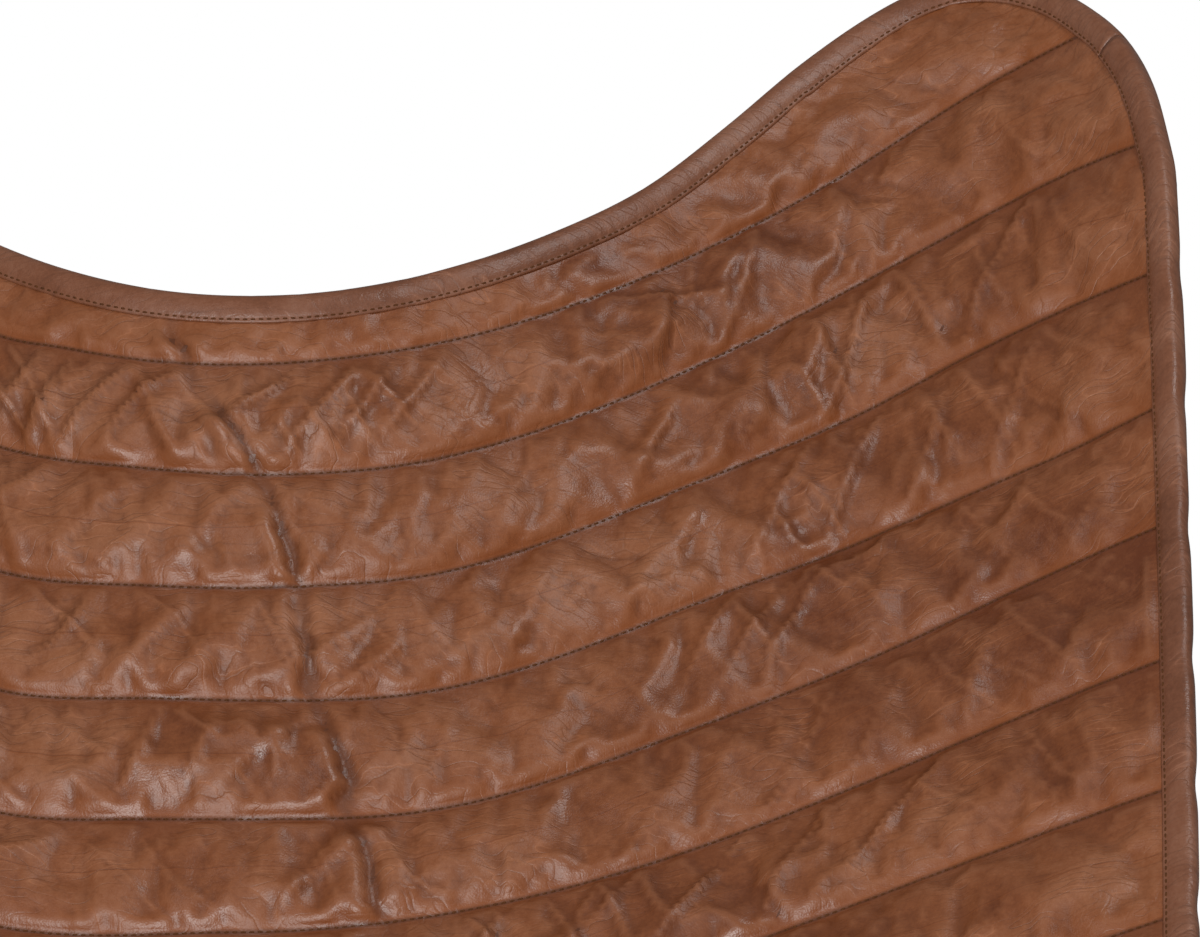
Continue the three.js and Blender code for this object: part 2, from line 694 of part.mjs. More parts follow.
// A strip folded over the mouth of a pocket, clear of the binding at both ends
function pocketHem(grids) {
  const face = (line) => ({ edge: line[line.length - 1], inner: line[line.length - 2] });
  const rings = grids.upper.slice(1, -1).map((line, k) => {
    const [upper, lower] = [face(line), face(grids.lower[k + 1])];
    const outward = upper.edge.clone().sub(upper.inner).normalize();
    const normals = {
      edge: upper.edge.clone().sub(lower.edge).normalize(),
      inner: upper.inner.clone().sub(lower.inner).normalize(),
    };
    return foldRing(upper, lower, outward, normals, SEAM_GAP, HEM_THICKNESS);
  });
  return sweep(rings, false, FOLD_UPPER_SIDE);
}

// Pockets add their own leather under the binding over their stretch of the rim
function underPocket(index) {
  return pockets.some(({ first, back }) => {
    const count = (back ? BACK_MOUTH_SHARES : FRONT_MOUTH_SHARES).length;
    const past = (index - first + 1 + rim.length) % rim.length;
    return past <= count + 1;
  });
}

function bindingRing(index, endShift) {
  const tangent = rimTangent(index);
  const frame = slingFrame(...rim[index % rim.length]);
  const inner = slingFrame(...placeInside(index, BINDING_WIDTH));
  const outward = frame.point.clone().sub(inner.point).normalize();
  const back = underPocket(index) ? pocketBottom : liningBottom;
  const face = (origin, offset) => origin.point.clone().addScaledVector(origin.normal, offset)
    .addScaledVector(tangent, endShift);
  return foldRing(
    { inner: face(inner, faceTop), edge: face(frame, faceTop) },
    { inner: face(inner, back), edge: face(frame, back) },
    outward,
    { inner: inner.normal, edge: frame.normal },
    BINDING_GAP,
    BINDING_THICKNESS,
  );
}

function bindingSection(first, last) {
  const rings = [];
  for (let index = first; index <= last; index += 1) {
    let shift = 0;
    if (index === first) shift = BINDING_JOIN_GAP / 2;
    if (index === last) shift = -BINDING_JOIN_GAP / 2;
    rings.push(bindingRing(index, shift));
  }
  return sweep(rings, false, FOLD_LOWER_SIDE);
}

addPiece('frame_loop_a', rodLoop('a', ROD_RADIUS), COLOURS.rod, 0.55, 0.3);
addPiece('frame_loop_b', rodLoop('b', ROD_RADIUS), COLOURS.rod, 0.55, 0.3);
for (const [side, cross] of Object.entries(crossings)) {
  addPiece(`weld_${side}`, weldBead(cross), COLOURS.weld, 0.6, 0.3);
}
const feet = {
  back_right: ['a', 'back_foot'],
  front_left: ['a', 'front_foot'],
  back_left: ['b', 'back_foot'],
  front_right: ['b', 'front_foot'],
};
for (const [place, [name, foot]] of Object.entries(feet)) {
  addPiece(`glide_${place}`, floorGlide(name, foot), COLOURS.glide, 0.7);
}

const layers = [
  ['face', FACE_STEPS, COLOURS.leather, 0.5,
    (crown) => faceTop + CHANNEL_CROWN * crown, (crown) => faceBottom + CHANNEL_CROWN * crown],
  ['padding', LAYER_STEPS, COLOURS.padding, 0.95,
    (crown) => SEWN_PADDING_THICKNESS + PADDING_CROWN * crown, () => 0],
  ['lining', LAYER_STEPS, COLOURS.lining, 0.75, () => liningTop, () => liningBottom],
];
for (const [layer, steps, colour, roughness, upper, lower] of layers) {
  const back = slingGrid(0, HIDE_SEAM_ROW, steps);
  const seat = slingGrid(HIDE_SEAM_ROW, SEAT_LAST_ROW, steps);
  addPiece(`sling_back_${layer}`, slingLayer(back, upper, lower), colour, roughness);
  addPiece(`sling_seat_${layer}`, slingLayer(seat, upper, lower), colour, roughness);
}

for (const pocket of pockets) {
  const grids = pocketGrids(pocket);
  addPiece(`pocket_${pocket.name}`, slab(grids.upper, grids.lower), COLOURS.lining, 0.7);
  addPiece(`pocket_hem_${pocket.name}`, pocketHem(grids), COLOURS.leather, 0.55);
}

const joinColumn = columns.indexOf(BINDING_JOIN_SHARE);
const sections = {
  back: [columns.length - 1 - joinColumn, joinColumn],
  right: [joinColumn, frontStart + columns.length - 1 - joinColumn],
  front: [frontStart + columns.length - 1 - joinColumn, frontStart + joinColumn],
  left: [frontStart + joinColumn, rim.length + columns.length - 1 - joinColumn],
};
for (const [side, [first, last]] of Object.entries(sections)) {
  addPiece(`binding_${side}`, bindingSection(first, last), COLOURS.leather, 0.5);
}

// The origin is on the floor, below the middle of the chair
const bounds = new THREE.Box3().setFromObject(chair);
chair.position.y = -(bounds.min.y + bounds.max.y) / 2;
chair.updateMatrixWorld(true);

export default chair;
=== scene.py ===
import math

import bmesh
import bpy
import numpy as np
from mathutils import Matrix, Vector


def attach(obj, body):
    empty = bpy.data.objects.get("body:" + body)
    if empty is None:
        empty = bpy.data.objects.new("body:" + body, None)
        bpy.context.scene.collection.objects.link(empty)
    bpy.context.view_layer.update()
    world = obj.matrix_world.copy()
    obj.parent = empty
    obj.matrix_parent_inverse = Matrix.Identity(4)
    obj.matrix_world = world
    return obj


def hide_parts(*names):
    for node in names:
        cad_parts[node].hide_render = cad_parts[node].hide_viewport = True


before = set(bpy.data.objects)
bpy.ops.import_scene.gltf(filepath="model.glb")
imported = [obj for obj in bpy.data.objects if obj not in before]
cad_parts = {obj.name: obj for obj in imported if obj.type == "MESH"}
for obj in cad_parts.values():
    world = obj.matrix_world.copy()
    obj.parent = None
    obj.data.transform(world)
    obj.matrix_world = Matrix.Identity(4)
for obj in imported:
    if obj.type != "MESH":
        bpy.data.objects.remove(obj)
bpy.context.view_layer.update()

# Butterfly sling chair: quilted leather on a bent rod frame. The shapes are
# worked out in millimetres, in the frame of the CAD model, and turned to metres
# when a mesh is made.
MM = 0.001

# The rod frame, as in the CAD source, which is moved by PART_SHIFT at the end
PART_SHIFT = -47.0353
ROD_RADIUS = 6.0
ROD_CROSSING_GAP = 0.8
CROSSING_BOW_REACH = 250.0
TOP_BEND_RADIUS = 50.0
FLOOR_BEND_RADIUS = 42.0
BACK_APEX = (366.0, 492.3, 927.0)
FRONT_APEX = (366.0, -365.0, 545.0)
FOOT_HALF_WIDTH = 325.0
FOOT_DEPTH = 230.0
GLIDE_LENGTH = 38.0
GLIDE_WIDTH = 20.0
GLIDE_SOLE = 2.5
GLIDE_CORNER = 6.0

# The sling's middle surface, as in the CAD source
FIRST_ROW_INSET = 33.0
ROW_PITCH = 54.0
EDGE_ROW_SHARE = 0.0748780
EDGE_ROW_EASE_SHARE = 0.00064478
HIDE_SEAM_ROW = 9
LAST_ROW = 16
BACK_HALF_WIDTH = 388.0
MIDDLE_HALF_WIDTH = 420.0
FRONT_HALF_WIDTH = 379.0
WING_FULLNESS = 72.0
SAG_SHARE_BACK = 0.7
SAG_SHARE_FRONT = 0.42
FULLNESS_END_SHARE = 0.62
BACK_EDGE = [
    (0, 0.4), (0.2, 0.4), (0.34, 0.38), (0.43, 0.33), (0.52, 0.15), (0.6, -0.02),
    (0.68, -0.09), (0.75, -0.04), (0.83, 0.21), (0.89, 0.52), (0.93, 0.83), (0.96, 1.14),
    (0.985, 1.6), (1, 2.2),
]
FRONT_EDGE = [
    (0, 15.34), (0.25, 15.5), (0.4, 15.92), (0.5, 16.4), (0.6, 16.9), (0.7, 17.17),
    (0.8, 17.25), (0.88, 17.15), (0.94, 16.87), (0.98, 16.4), (1, 15.8),
]
COLUMNS = [0, 0.24, 0.43, 0.55, 0.67, 0.79, 0.89, 0.96, 1]
BACK_MOUTH = [
    (0.43, 0.6), (0.55, 0.8), (0.66, 1.42), (0.74, 1.85), (0.8, 2.2),
    (0.85, 2.5), (0.88, 2.75), (0.91, 3), (0.938, 3.3), (0.965, 3.6),
]
FRONT_MOUTH = [
    (0.68, 15.75), (0.74, 15.5), (0.8, 15.2), (0.85, 14.9), (0.88, 14.65),
    (0.905, 14.45), (0.93, 14.2), (0.95, 14.05), (0.967, 13.9),
]
BACK_POCKET_SHARE = 0.43
FRONT_POCKET_SHARE = 0.67
BINDING_JOIN_SHARE = 0.96

# Offsets of the layers from the middle surface, towards the sitter
FACE_TOP = 2.8
FACE_THICKNESS = 1.2
WADDING_TOP = 0.6
WADDING_PUFF = 2.8
LINING_TOP = -0.7
LINING_BOTTOM = -1.8
POCKET_TOP = -2.5
POCKET_THICKNESS = 1.4
POCKET_CLEARANCE = 2.2
POCKET_SLOPE_REACH = 33.0
POCKET_SAG = 1.6
POCKET_RIPPLE = 0.88
RIM_STRIP = 12.7
BINDING_WIDTH = 12.0
BINDING_THICKNESS = 1.2
BINDING_GAP = 0.9
BINDING_BULGE = 2.1
BINDING_JOIN_GAP = 0.2
HEM_WIDTH = 9.0
HEM_THICKNESS = 1.1
HEM_GAP = 0.35

# How far each stitched line wanders from its even row, as (share, rows)
ROW_WANDER = {
    1: [(-1, 0.04), (-0.28, 0.12), (-0.19, 0.04), (0.06, -0.02), (0.3, 0.04), (0.46, 0.07),
        (0.63, 0.06), (0.8, -0.02), (1, -0.02)],
    2: [(-1, -0.03), (-0.27, 0.05), (-0.1, -0.05), (0.06, -0.03), (0.22, 0.03), (0.46, 0.02),
        (0.7, 0), (0.9, -0.02), (1, 0.02)],
    3: [(-1, 0.02), (-0.25, 0.09), (-0.08, -0.04), (0.08, -0.04), (0.23, 0.03), (0.47, -0.01),
        (0.66, 0.05), (0.8, 0.01), (1, 0.01)],
    4: [(-1, -0.02), (-0.24, 0.08), (-0.07, -0.07), (0.04, -0.07), (0.24, 0.04), (0.5, 0),
        (0.63, 0.07), (0.8, 0.1), (0.9, 0.1), (1, 0.02)],
    5: [(-1, 0.05), (-0.22, 0.1), (-0.06, -0.03), (0.05, -0.04), (0.25, 0.07), (0.47, 0.03),
        (0.7, 0.04), (0.86, -0.01), (1, -0.06)],
    6: [(-1, 0), (-0.2, 0.06), (0, -0.06), (0.1, -0.05), (0.5, 0.03), (1, -0.02)],
    7: [(-1, 0.04), (-0.3, -0.03), (0.2, 0.03), (0.6, -0.02), (1, 0.01)],
    8: [(-1, -0.04), (-0.2, 0.02), (0.4, -0.04), (1, 0.07)],
}

# The packing fold that crosses the channels, as (share, row)
PACKING_FOLD = [
    (-0.098, 0.5), (-0.078, 0.82), (-0.057, 1.02), (-0.028, 1.37), (0.015, 1.89),
    (0.065, 2.87), (0.094, 3.93), (0.149, 4.97), (0.182, 5.99), (0.2, 6.8), (0.19, 7.6),
]

# Single wrinkles that catch the light: two ends as (share, row), and a height
NAMED_WRINKLES = [
    ((0.518, 0.5), (0.503, 0.92), 2.2), ((0.585, 0.4), (0.606, 0.92), 1.9),
    ((0.46, 1.2), (0.434, 1.75), 2.4), ((0.53, 1.15), (0.5, 1.75), 1.6),
    ((0.424, 0.55), (0.42, 0.8), 1.5), ((0.66, 1.2), (0.62, 1.8), 1.5),
    ((0.56, 2.15), (0.55, 2.75), 1.7), ((0.47, 2.2), (0.41, 2.85), 1.6),
    ((0.64, 2.2), (0.6, 2.6), 1.5), ((0.35, 3.2), (0.29, 3.8), 1.6),
    ((0.5, 3.2), (0.45, 3.85), 1.7), ((0.13, 1.1), (0.08, 1.9), 1.4),
    ((0.02, 2.1), (-0.06, 2.8), 1.7), ((-0.02, 3.1), (-0.12, 3.85), 1.8),
    ((0.1, 4.15), (-0.02, 4.9), 1.8), ((0.2, 5.1), (0.06, 5.8), 1.6),
    ((-0.16, 1.1), (-0.23, 1.85), 1.6), ((-0.1, 2.1), (-0.2, 2.85), 1.7),
]

# Grids: rows for each channel and columns, of the faces and of the layers under them
FACE_GRID = (24, 336)
LAYER_GRID = (10, 150)
GRID_FRONT_LINE = 17.4
SEAM_GAP = 0.35
POCKET_GRID = (96, 48)
RIM_STEP = 3.0
SHARE_STEP = 1e-3
POINTS_AT_ONCE = 20000


# Small numeric tools

def smoothstep(x):
    x = np.clip(x, 0, 1)
    return x * x * (3 - 2 * x)


def unit(v):
    return v / np.maximum(np.linalg.norm(v, axis=-1, keepdims=True), 1e-9)


def through_table(table, place):
    """A smooth line through a table of (place, value)."""
    xs, ys = np.asarray(table, float).T
    place = np.asarray(place, float)
    before = np.maximum(np.arange(len(xs)) - 1, 0)
    after = np.minimum(np.arange(len(xs)) + 1, len(xs) - 1)
    slopes = (ys[after] - ys[before]) / (xs[after] - xs[before])
    k = np.clip(np.searchsorted(xs, place, side="left") - 1, 0, len(xs) - 2)
    step = xs[k + 1] - xs[k]
    f = np.clip((place - xs[k]) / step, 0, 1)
    rise = smoothstep(f)
    return (ys[k] * (1 - rise) + ys[k + 1] * rise
            + step * (slopes[k] * f * (1 - f) ** 2 - slopes[k + 1] * f * f * (1 - f)))


def lengths_along(points):
    """The length of a line up to each of its points."""
    steps = np.linalg.norm(np.diff(points, axis=0), axis=1)
    return np.concatenate([[0], np.cumsum(steps)])


def at_lengths(at, lengths, values):
    return np.stack([np.interp(at, lengths, column) for column in values.T], -1)


def lattice(ix, iy, seed):
    """Even random numbers from 0 to 1, always the same for the same place."""
    h = ix.astype(np.int64) * 374761393 + iy.astype(np.int64) * 668265263 + seed * 1442695041
    h = h & 0xFFFFFFFF
    for shift, factor in ((13, 1274126177), (16, 2246822519), (15, 1)):
        h = ((h ^ (h >> shift)) * factor) & 0xFFFFFFFF
    return h / 4294967295.0


def value_noise(x, y, seed):
    x, y = np.broadcast_arrays(np.asarray(x, float), np.asarray(y, float))
    ix, iy = np.floor(x), np.floor(y)
    fx, fy = (f ** 3 * (f * (f * 6 - 15) + 10) for f in (x - ix, y - iy))
    near, far = (lattice(ix, row, seed) * (1 - fx) + lattice(ix + 1, row, seed) * fx
                 for row in (iy, iy + 1))
    return near * (1 - fy) + far * fy


def clouds(x, y, seed):
    """Noise in two octaves."""
    return (value_noise(x, y, seed) + value_noise(2 * x, 2 * y, seed + 17) * 0.5) / 1.5


def ridges(x, y, seed, sharp):
    return (1 - np.abs(2 * value_noise(x, y, seed) - 1)) ** sharp


def spline(values, count):
    """A list of points drawn out to count points on a smooth line through them."""
    place = np.linspace(0, len(values) - 1, count)
    last = len(values) - 1
    k = np.clip(np.floor(place).astype(int), 0, last - 1)
    f = (place - k).reshape(-1, *([1] * (values.ndim - 1)))
    p0, p1 = values[np.maximum(k - 1, 0)], values[k]
    p2, p3 = values[k + 1], values[np.minimum(k + 2, last)]
    return 0.5 * (2 * p1 + (p2 - p0) * f + (2 * p0 - 5 * p1 + 4 * p2 - p3) * f * f
                  + (3 * p1 - p0 - 3 * p2 + p3) * f ** 3)


def upsample(values, shape):
    """A coarse grid of vectors drawn out to a finer one that keeps its points."""
    rows = spline(values, shape[0])
    return np.swapaxes(spline(np.swapaxes(rows, 0, 1), shape[1]), 0, 1)


def blur_round(values, radius):
    """Smooths along the first axis, which closes on itself."""
    reach = int(radius * 3)
    weights = np.exp(-0.5 * (np.arange(-reach, reach + 1) / radius) ** 2)
    weights /= weights.sum()
    padded = np.concatenate([values[-reach:], values, values[:reach]])
    return sum(w * padded[k:k + len(values)] for k, w in enumerate(weights))


# The sling's middle surface

def side_curve(start, lean, start_reach, end, rise, end_reach):
    """A curve in side view that goes on straight past its ends, and its length."""
    lean, rise = math.radians(lean), math.radians(rise)
    start, end = np.array(start, float), np.array(end, float)
    after_start = start - start_reach * np.array([math.sin(lean), math.cos(lean)])
    before_end = end + end_reach * np.array([math.cos(rise), -math.sin(rise)])

    def bezier(t):
        t = t[..., None]
        return ((1 - t) ** 3 * start + 3 * t * (1 - t) ** 2 * after_start
                + 3 * t * t * (1 - t) * before_end + t ** 3 * end)

    t = np.linspace(0, 1, 401)
    lengths = lengths_along(bezier(t))
    into, out = unit(after_start - start), unit(end - before_end)

    def at(distance):
        inside = np.clip(distance, 0, lengths[-1])
        before = np.minimum(distance, 0)[..., None] * into
        after = np.maximum(distance - lengths[-1], 0)[..., None] * out
        return bezier(np.interp(inside, lengths, t)) + before + after

    return at, lengths[-1]


centre_line, _ = side_curve((312, 753), 28.5, 430, (-295, 382), 20, 300)
side_edge, side_edge_length = side_curve((405, 881), 36, 750, (-345, 548), 26, 260)


def sling_point(share, row):
    """The middle surface at a share of its half width and a row of stitching."""
    share, row = np.broadcast_arrays(np.asarray(share, float), np.asarray(row, float))
    centre = centre_line(FIRST_ROW_INSET + (row - 1) * ROW_PITCH)
    row_share = (row - 1) * EDGE_ROW_SHARE - (row - 1) ** 2 * EDGE_ROW_EASE_SHARE
    edge = side_edge(row_share * side_edge_length)
    along = np.clip(row / LAST_ROW, 0, 1)
    half = (BACK_HALF_WIDTH * (1 - along) ** 2
            + 2 * MIDDLE_HALF_WIDTH * along * (1 - along) + FRONT_HALF_WIDTH * along ** 2)
    bend = np.pi * (SAG_SHARE_BACK + (SAG_SHARE_FRONT - SAG_SHARE_BACK) * along)
    across = np.abs(share)
    lift = (1 - np.cos(bend * across)) / (1 - np.cos(bend))
    fade = smoothstep(1 - along / FULLNESS_END_SHARE)
    fullness = 4 * WING_FULLNESS * fade * across ** 2 * (1 - across ** 2)
    return np.stack([
        half * share,
        centre[..., 0] + (edge[..., 0] - centre[..., 0]) * lift + fullness + PART_SHIFT,
        centre[..., 1] + (edge[..., 1] - centre[..., 1]) * lift,
    ], axis=-1)


def sling_frame(share, row):
    """The middle surface, its normal, which points to the sitter, and its slopes."""
    h = SHARE_STEP
    across = (sling_point(share + h, row) - sling_point(share - h, row)) / (2 * h)
    along = (sling_point(share, row + h) - sling_point(share, row - h)) / (2 * h)
    return sling_point(share, row), unit(np.cross(along, across)), across, along


def edge_row(share, back):
    return through_table(BACK_EDGE if back else FRONT_EDGE, np.abs(share))


def wander(share, line):
    """How far the stitching is from its even row; line counts the stitched lines."""
    share, line = np.broadcast_arrays(np.asarray(share, float), np.asarray(line, float))
    total = np.zeros_like(share)
    for k, table in ROW_WANDER.items():
        here = through_table(table, share)
        total += here * np.clip(1 - np.abs(line - k), 0, 1)
        if k == 1:
            total += 0.5 * here * np.clip(1 - np.abs(line), 0, 1)
    return np.where(np.floor(line) < HIDE_SEAM_ROW, total, 0)


def round_rim(shares, rows):
    """(share, row) places once round the rim, from the left back."""
    ends = np.ones_like(rows)
    return np.concatenate([
        np.stack([shares, edge_row(shares, True)], -1), np.stack([ends, rows], -1),
        np.stack([shares[::-1], edge_row(shares[::-1], False)], -1),
        np.stack([-ends, rows[::-1]], -1),
    ])


def trace_rim():
    """The places of the rim at even steps."""
    shares = np.sin(np.linspace(-np.pi / 2, np.pi / 2, 1201))
    rows = np.linspace(float(edge_row(1, True)), float(edge_row(1, False)), 601)[1:-1]
    places = round_rim(shares, rows)
    places = np.concatenate([places, places[:1]])
    lengths = lengths_along(sling_point(*places.T))
    count = int(round(lengths[-1] / RIM_STEP))
    return at_lengths(np.linspace(0, lengths[-1], count, endpoint=False), lengths, places)


def places_inward(places, across, along, step):
    """The (share, row) places that a step on the surface, in mm, leads to."""
    aa, bb, ab = (np.sum(p * q, axis=-1)
                  for p, q in ((across, across), (along, along), (across, along)))
    sa, sb = np.sum(step * across, axis=-1), np.sum(step * along, axis=-1)
    moved = np.stack([sa * bb - sb * ab, sb * aa - sa * ab], -1)
    return places + moved / (aa * bb - ab ** 2)[..., None]


def inward(point, normal, tangent, middle_row):
    """The direction in the surface from the rim towards the sling's middle."""
    across = unit(np.cross(normal, tangent))
    towards = np.sum(across * (sling_point(0, middle_row) - point), axis=-1, keepdims=True)
    return across * np.sign(towards)


rim = trace_rim()
rim_point, rim_normal, rim_across, rim_along = sling_frame(*rim.T)
rim_edge = blur_round(rim_point, 1.6)
rim_tangent = unit(np.roll(rim_edge, -1, axis=0) - np.roll(rim_edge, 1, axis=0))
rim_inward = inward(rim_point, rim_normal, rim_tangent, 8.0)
inner_place = places_inward(rim, rim_across, rim_along, rim_inward * BINDING_WIDTH)
inner_point, inner_normal, _, _ = sling_frame(*inner_place.T)


def rim_distance(points):
    """The distance of each point from the rim line."""
    flat, line, nearest = points.reshape(-1, 3), rim_edge[::3], []
    for start in range(0, len(flat), POINTS_AT_ONCE):
        part = flat[start:start + POINTS_AT_ONCE]
        squares = (np.sum(part ** 2, axis=1)[:, None] + np.sum(line ** 2, axis=1)
                   - 2 * part @ line.T)
        nearest.append(np.sqrt(np.maximum(squares.min(axis=1), 0)))
    return np.concatenate(nearest).reshape(points.shape[:-1])


# Meshes and materials

def make_mesh(name, points, faces, attributes=None):
    mesh = bpy.data.meshes.new(name)
    mesh.from_pydata((np.asarray(points).reshape(-1, 3) * MM).tolist(), [], faces)
    for key, values in (attributes or {}).items():
        layer = mesh.attributes.new(key, "FLOAT", "POINT")
        layer.data.foreach_set("value", np.asarray(values, np.float32))
    mesh.polygons.foreach_set("use_smooth", [True] * len(mesh.polygons))
    mesh.update()
    obj = bpy.data.objects.new(name, mesh)
    bpy.context.scene.collection.objects.link(obj)
    return obj


def face_outward(obj):
    mesh = bmesh.new()
    mesh.from_mesh(obj.data)
    bmesh.ops.recalc_face_normals(mesh, faces=mesh.faces)
    mesh.to_mesh(obj.data)
    mesh.free()
    return obj


def ring_faces(count, sides, twist=None):
    """Quads between rings of points, with end caps, or joined round with a twist."""
    rings = np.arange(count * sides).reshape(count, sides)
    caps = [rings[0][::-1].tolist(), rings[-1].tolist()]
    if twist is not None:
        rings, caps = np.vstack([rings, np.roll(rings[0], -twist)]), []
    a, b = rings[:-1], rings[1:]
    quads = np.stack([a, np.roll(a, -1, axis=1), np.roll(b, -1, axis=1), b], -1)
    return quads.reshape(-1, 4).tolist() + caps


class Graph:
    """Short names for building a material's nodes."""

    def __init__(self, name):
        self.material = bpy.data.materials.new(name)
        self.material.use_nodes = True
        self.tree = self.material.node_tree
        self.shader = self.tree.nodes["Principled BSDF"]
        self.place = self.add("TexCoord").outputs["Object"]

    def add(self, kind, inputs=None, **values):
        node = self.tree.nodes.new("ShaderNode" + kind)
        for key, value in values.items():
            setattr(node, key, value)
        for key, value in (inputs or {}).items():
            self.put(node, key, value)
        return node

    def put(self, node, key, value):
        socket = node.inputs[key]
        if isinstance(value, bpy.types.NodeSocket):
            self.tree.links.new(value, socket)
        else:
            socket.default_value = (*value, 1.0) if socket.type == "RGBA" else value

    def math(self, operation, a, b=0.0, clamp=False):
        return self.add("Math", {0: a, 1: b}, operation=operation, use_clamp=clamp).outputs[0]

    def times(self, a, b):
        return self.math("MULTIPLY", a, b)

    def total(self, *terms):
        """The sum of values, each times a weight."""
        result = 0.0
        for value, weight in terms:
            result = self.math("ADD", self.times(value, weight), result)
        return result

    def noise(self, scale, detail, distortion=0.0, stretch=None, turn=(0, 0, 0)):
        place = self.place
        if stretch:
            place = self.add("Mapping", {"Vector": place, "Scale": stretch,
                                         "Rotation": turn}).outputs["Vector"]
        return self.add("TexNoise", {"Vector": place, "Scale": scale, "Detail": detail,
                                     "Distortion": distortion}).outputs["Fac"]

    def voronoi(self, scale):
        node = self.add("TexVoronoi", {"Vector": self.place, "Scale": scale})
        return node.outputs["Distance"]

    def ridge(self, noise, sharp):
        """Thin lines where a noise crosses its middle."""
        off = self.math("ABSOLUTE", self.math("SUBTRACT", self.times(noise, 2.0), 1.0))
        return self.math("POWER", self.math("SUBTRACT", 1.0, off, clamp=True), sharp)

    def marks(self, scale, detail, stretch, turn, sharp, where, low, high):
        """Thin stretched lines that show only where a mask is over low."""
        lines = self.ridge(self.noise(scale, detail, 0.0, stretch, turn), sharp)
        return self.times(lines, self.span(where, low, high))

    def cracks(self, scale, warp, warp_scale):
        """1 on the borders of warped cells, 0 inside them."""
        noise = self.add("TexNoise", {"Vector": self.place, "Scale": warp_scale, "Detail": 3.0})
        moved = self.add("VectorMath", {0: noise.outputs["Color"], 1: (warp,) * 3, 2: self.place},
                         operation="MULTIPLY_ADD")
        cells = self.add("TexVoronoi", {"Vector": moved.outputs[0], "Scale": scale},
                         feature="DISTANCE_TO_EDGE")
        return self.span(cells.outputs["Distance"], 0.0, 0.09, 1.0, 0.0)

    def ramp(self, factor, *stops):
        node = self.add("ValToRGB", {"Fac": factor})
        elements = node.color_ramp.elements
        while len(elements) < len(stops):
            elements.new(0.5)
        for element, (place, colour) in zip(elements, stops):
            element.position = place
            element.color = (*colour, 1.0)
        return node.outputs["Color"]

    def span(self, value, low, high, to_low=0.0, to_high=1.0):
        return self.add("MapRange", {"Value": value, "From Min": low, "From Max": high,
                                     "To Min": to_low, "To Max": to_high}).outputs["Result"]

    def tint(self, colour, mask, amount, other):
        """A colour mixed with another where a mask is 1."""
        node = self.add("Mix", data_type="RGBA")
        # the colour sockets of this node have the same names as its number sockets
        for key, value in ((0, self.times(mask, amount)), (6, colour), (7, other)):
            self.put(node, key, value)
        return node.outputs[2]

    def attribute(self, name):
        return self.add("Attribute", attribute_name=name).outputs["Fac"]

    def bump(self, height, distance, strength=1.0, under=None):
        node = self.add("Bump", {"Height": height, "Distance": distance, "Strength": strength})
        if under is not None:
            self.put(node, "Normal", under)
        return node.outputs["Normal"]

    def done(self, colour, roughness, normal):
        for key, value in (("Base Color", colour), ("Roughness", roughness), ("Normal", normal)):
            self.put(self.shader, key, value)
        return self.material


def linear(red, green, blue):
    """A colour as it looks on screen, 0 to 255, in linear light."""
    values = [c / 255 for c in (red, green, blue)]
    return tuple(c / 12.92 if c <= 0.04045 else ((c + 0.055) / 1.055) ** 2.4 for c in values)


def shade(colour, share):
    return tuple(min(1, c * share) for c in colour)


def painted_light_shade_and_wear(g, colour, dark, middle, light):
    """Painted shade below each seam, in its groove and along the packing fold, painted light above
    each seam, lighter ridges (partly pull-up wear, partly painted highlight) and darker hollows
    (partly dye, partly painted shade).
    """
    seam = g.attribute("seam")
    # painted shade: darker for 20 mm below each stitched line
    painted_shade_below = g.times(g.span(seam, 0.0, 20.0, 1.0, 0.0), g.span(seam, -0.6, 0.3))
    # painted light: a warmer, lighter amber band for 16 mm above each stitched line
    painted_light_above = g.times(g.span(seam, -16.0, -1.0), g.span(seam, -0.2, -0.8))
    painted_light_amber = (middle[0] * 1.08, middle[1] * 0.92, middle[2] * 0.55)
    # painted shade in the groove of each stitched line
    groove = g.span(g.math("ABSOLUTE", seam), 0.3, 1.6, 1.0, 0.0)
    for mask, amount, other in (
        # painted shade below each seam and painted light above it
        (g.math("POWER", painted_shade_below, 1.4), 0.6, dark), (painted_light_above, 0.62, painted_light_amber),
        # painted shade in each seam's groove and along the packing fold
        (groove, 0.6, shade(dark, 0.4)), (g.attribute("fold"), 0.5, shade(dark, 0.4)),
        # lighter on ridges, partly pull-up wear and partly painted highlight; darker in hollows,
        # partly dye and partly painted shade
        (g.attribute("ridge_wear_and_sheen"), 0.36, light), (g.attribute("dip"), 0.42, shade(dark, 0.75)),
    ):
        colour = g.tint(colour, mask, amount, other)
    return colour


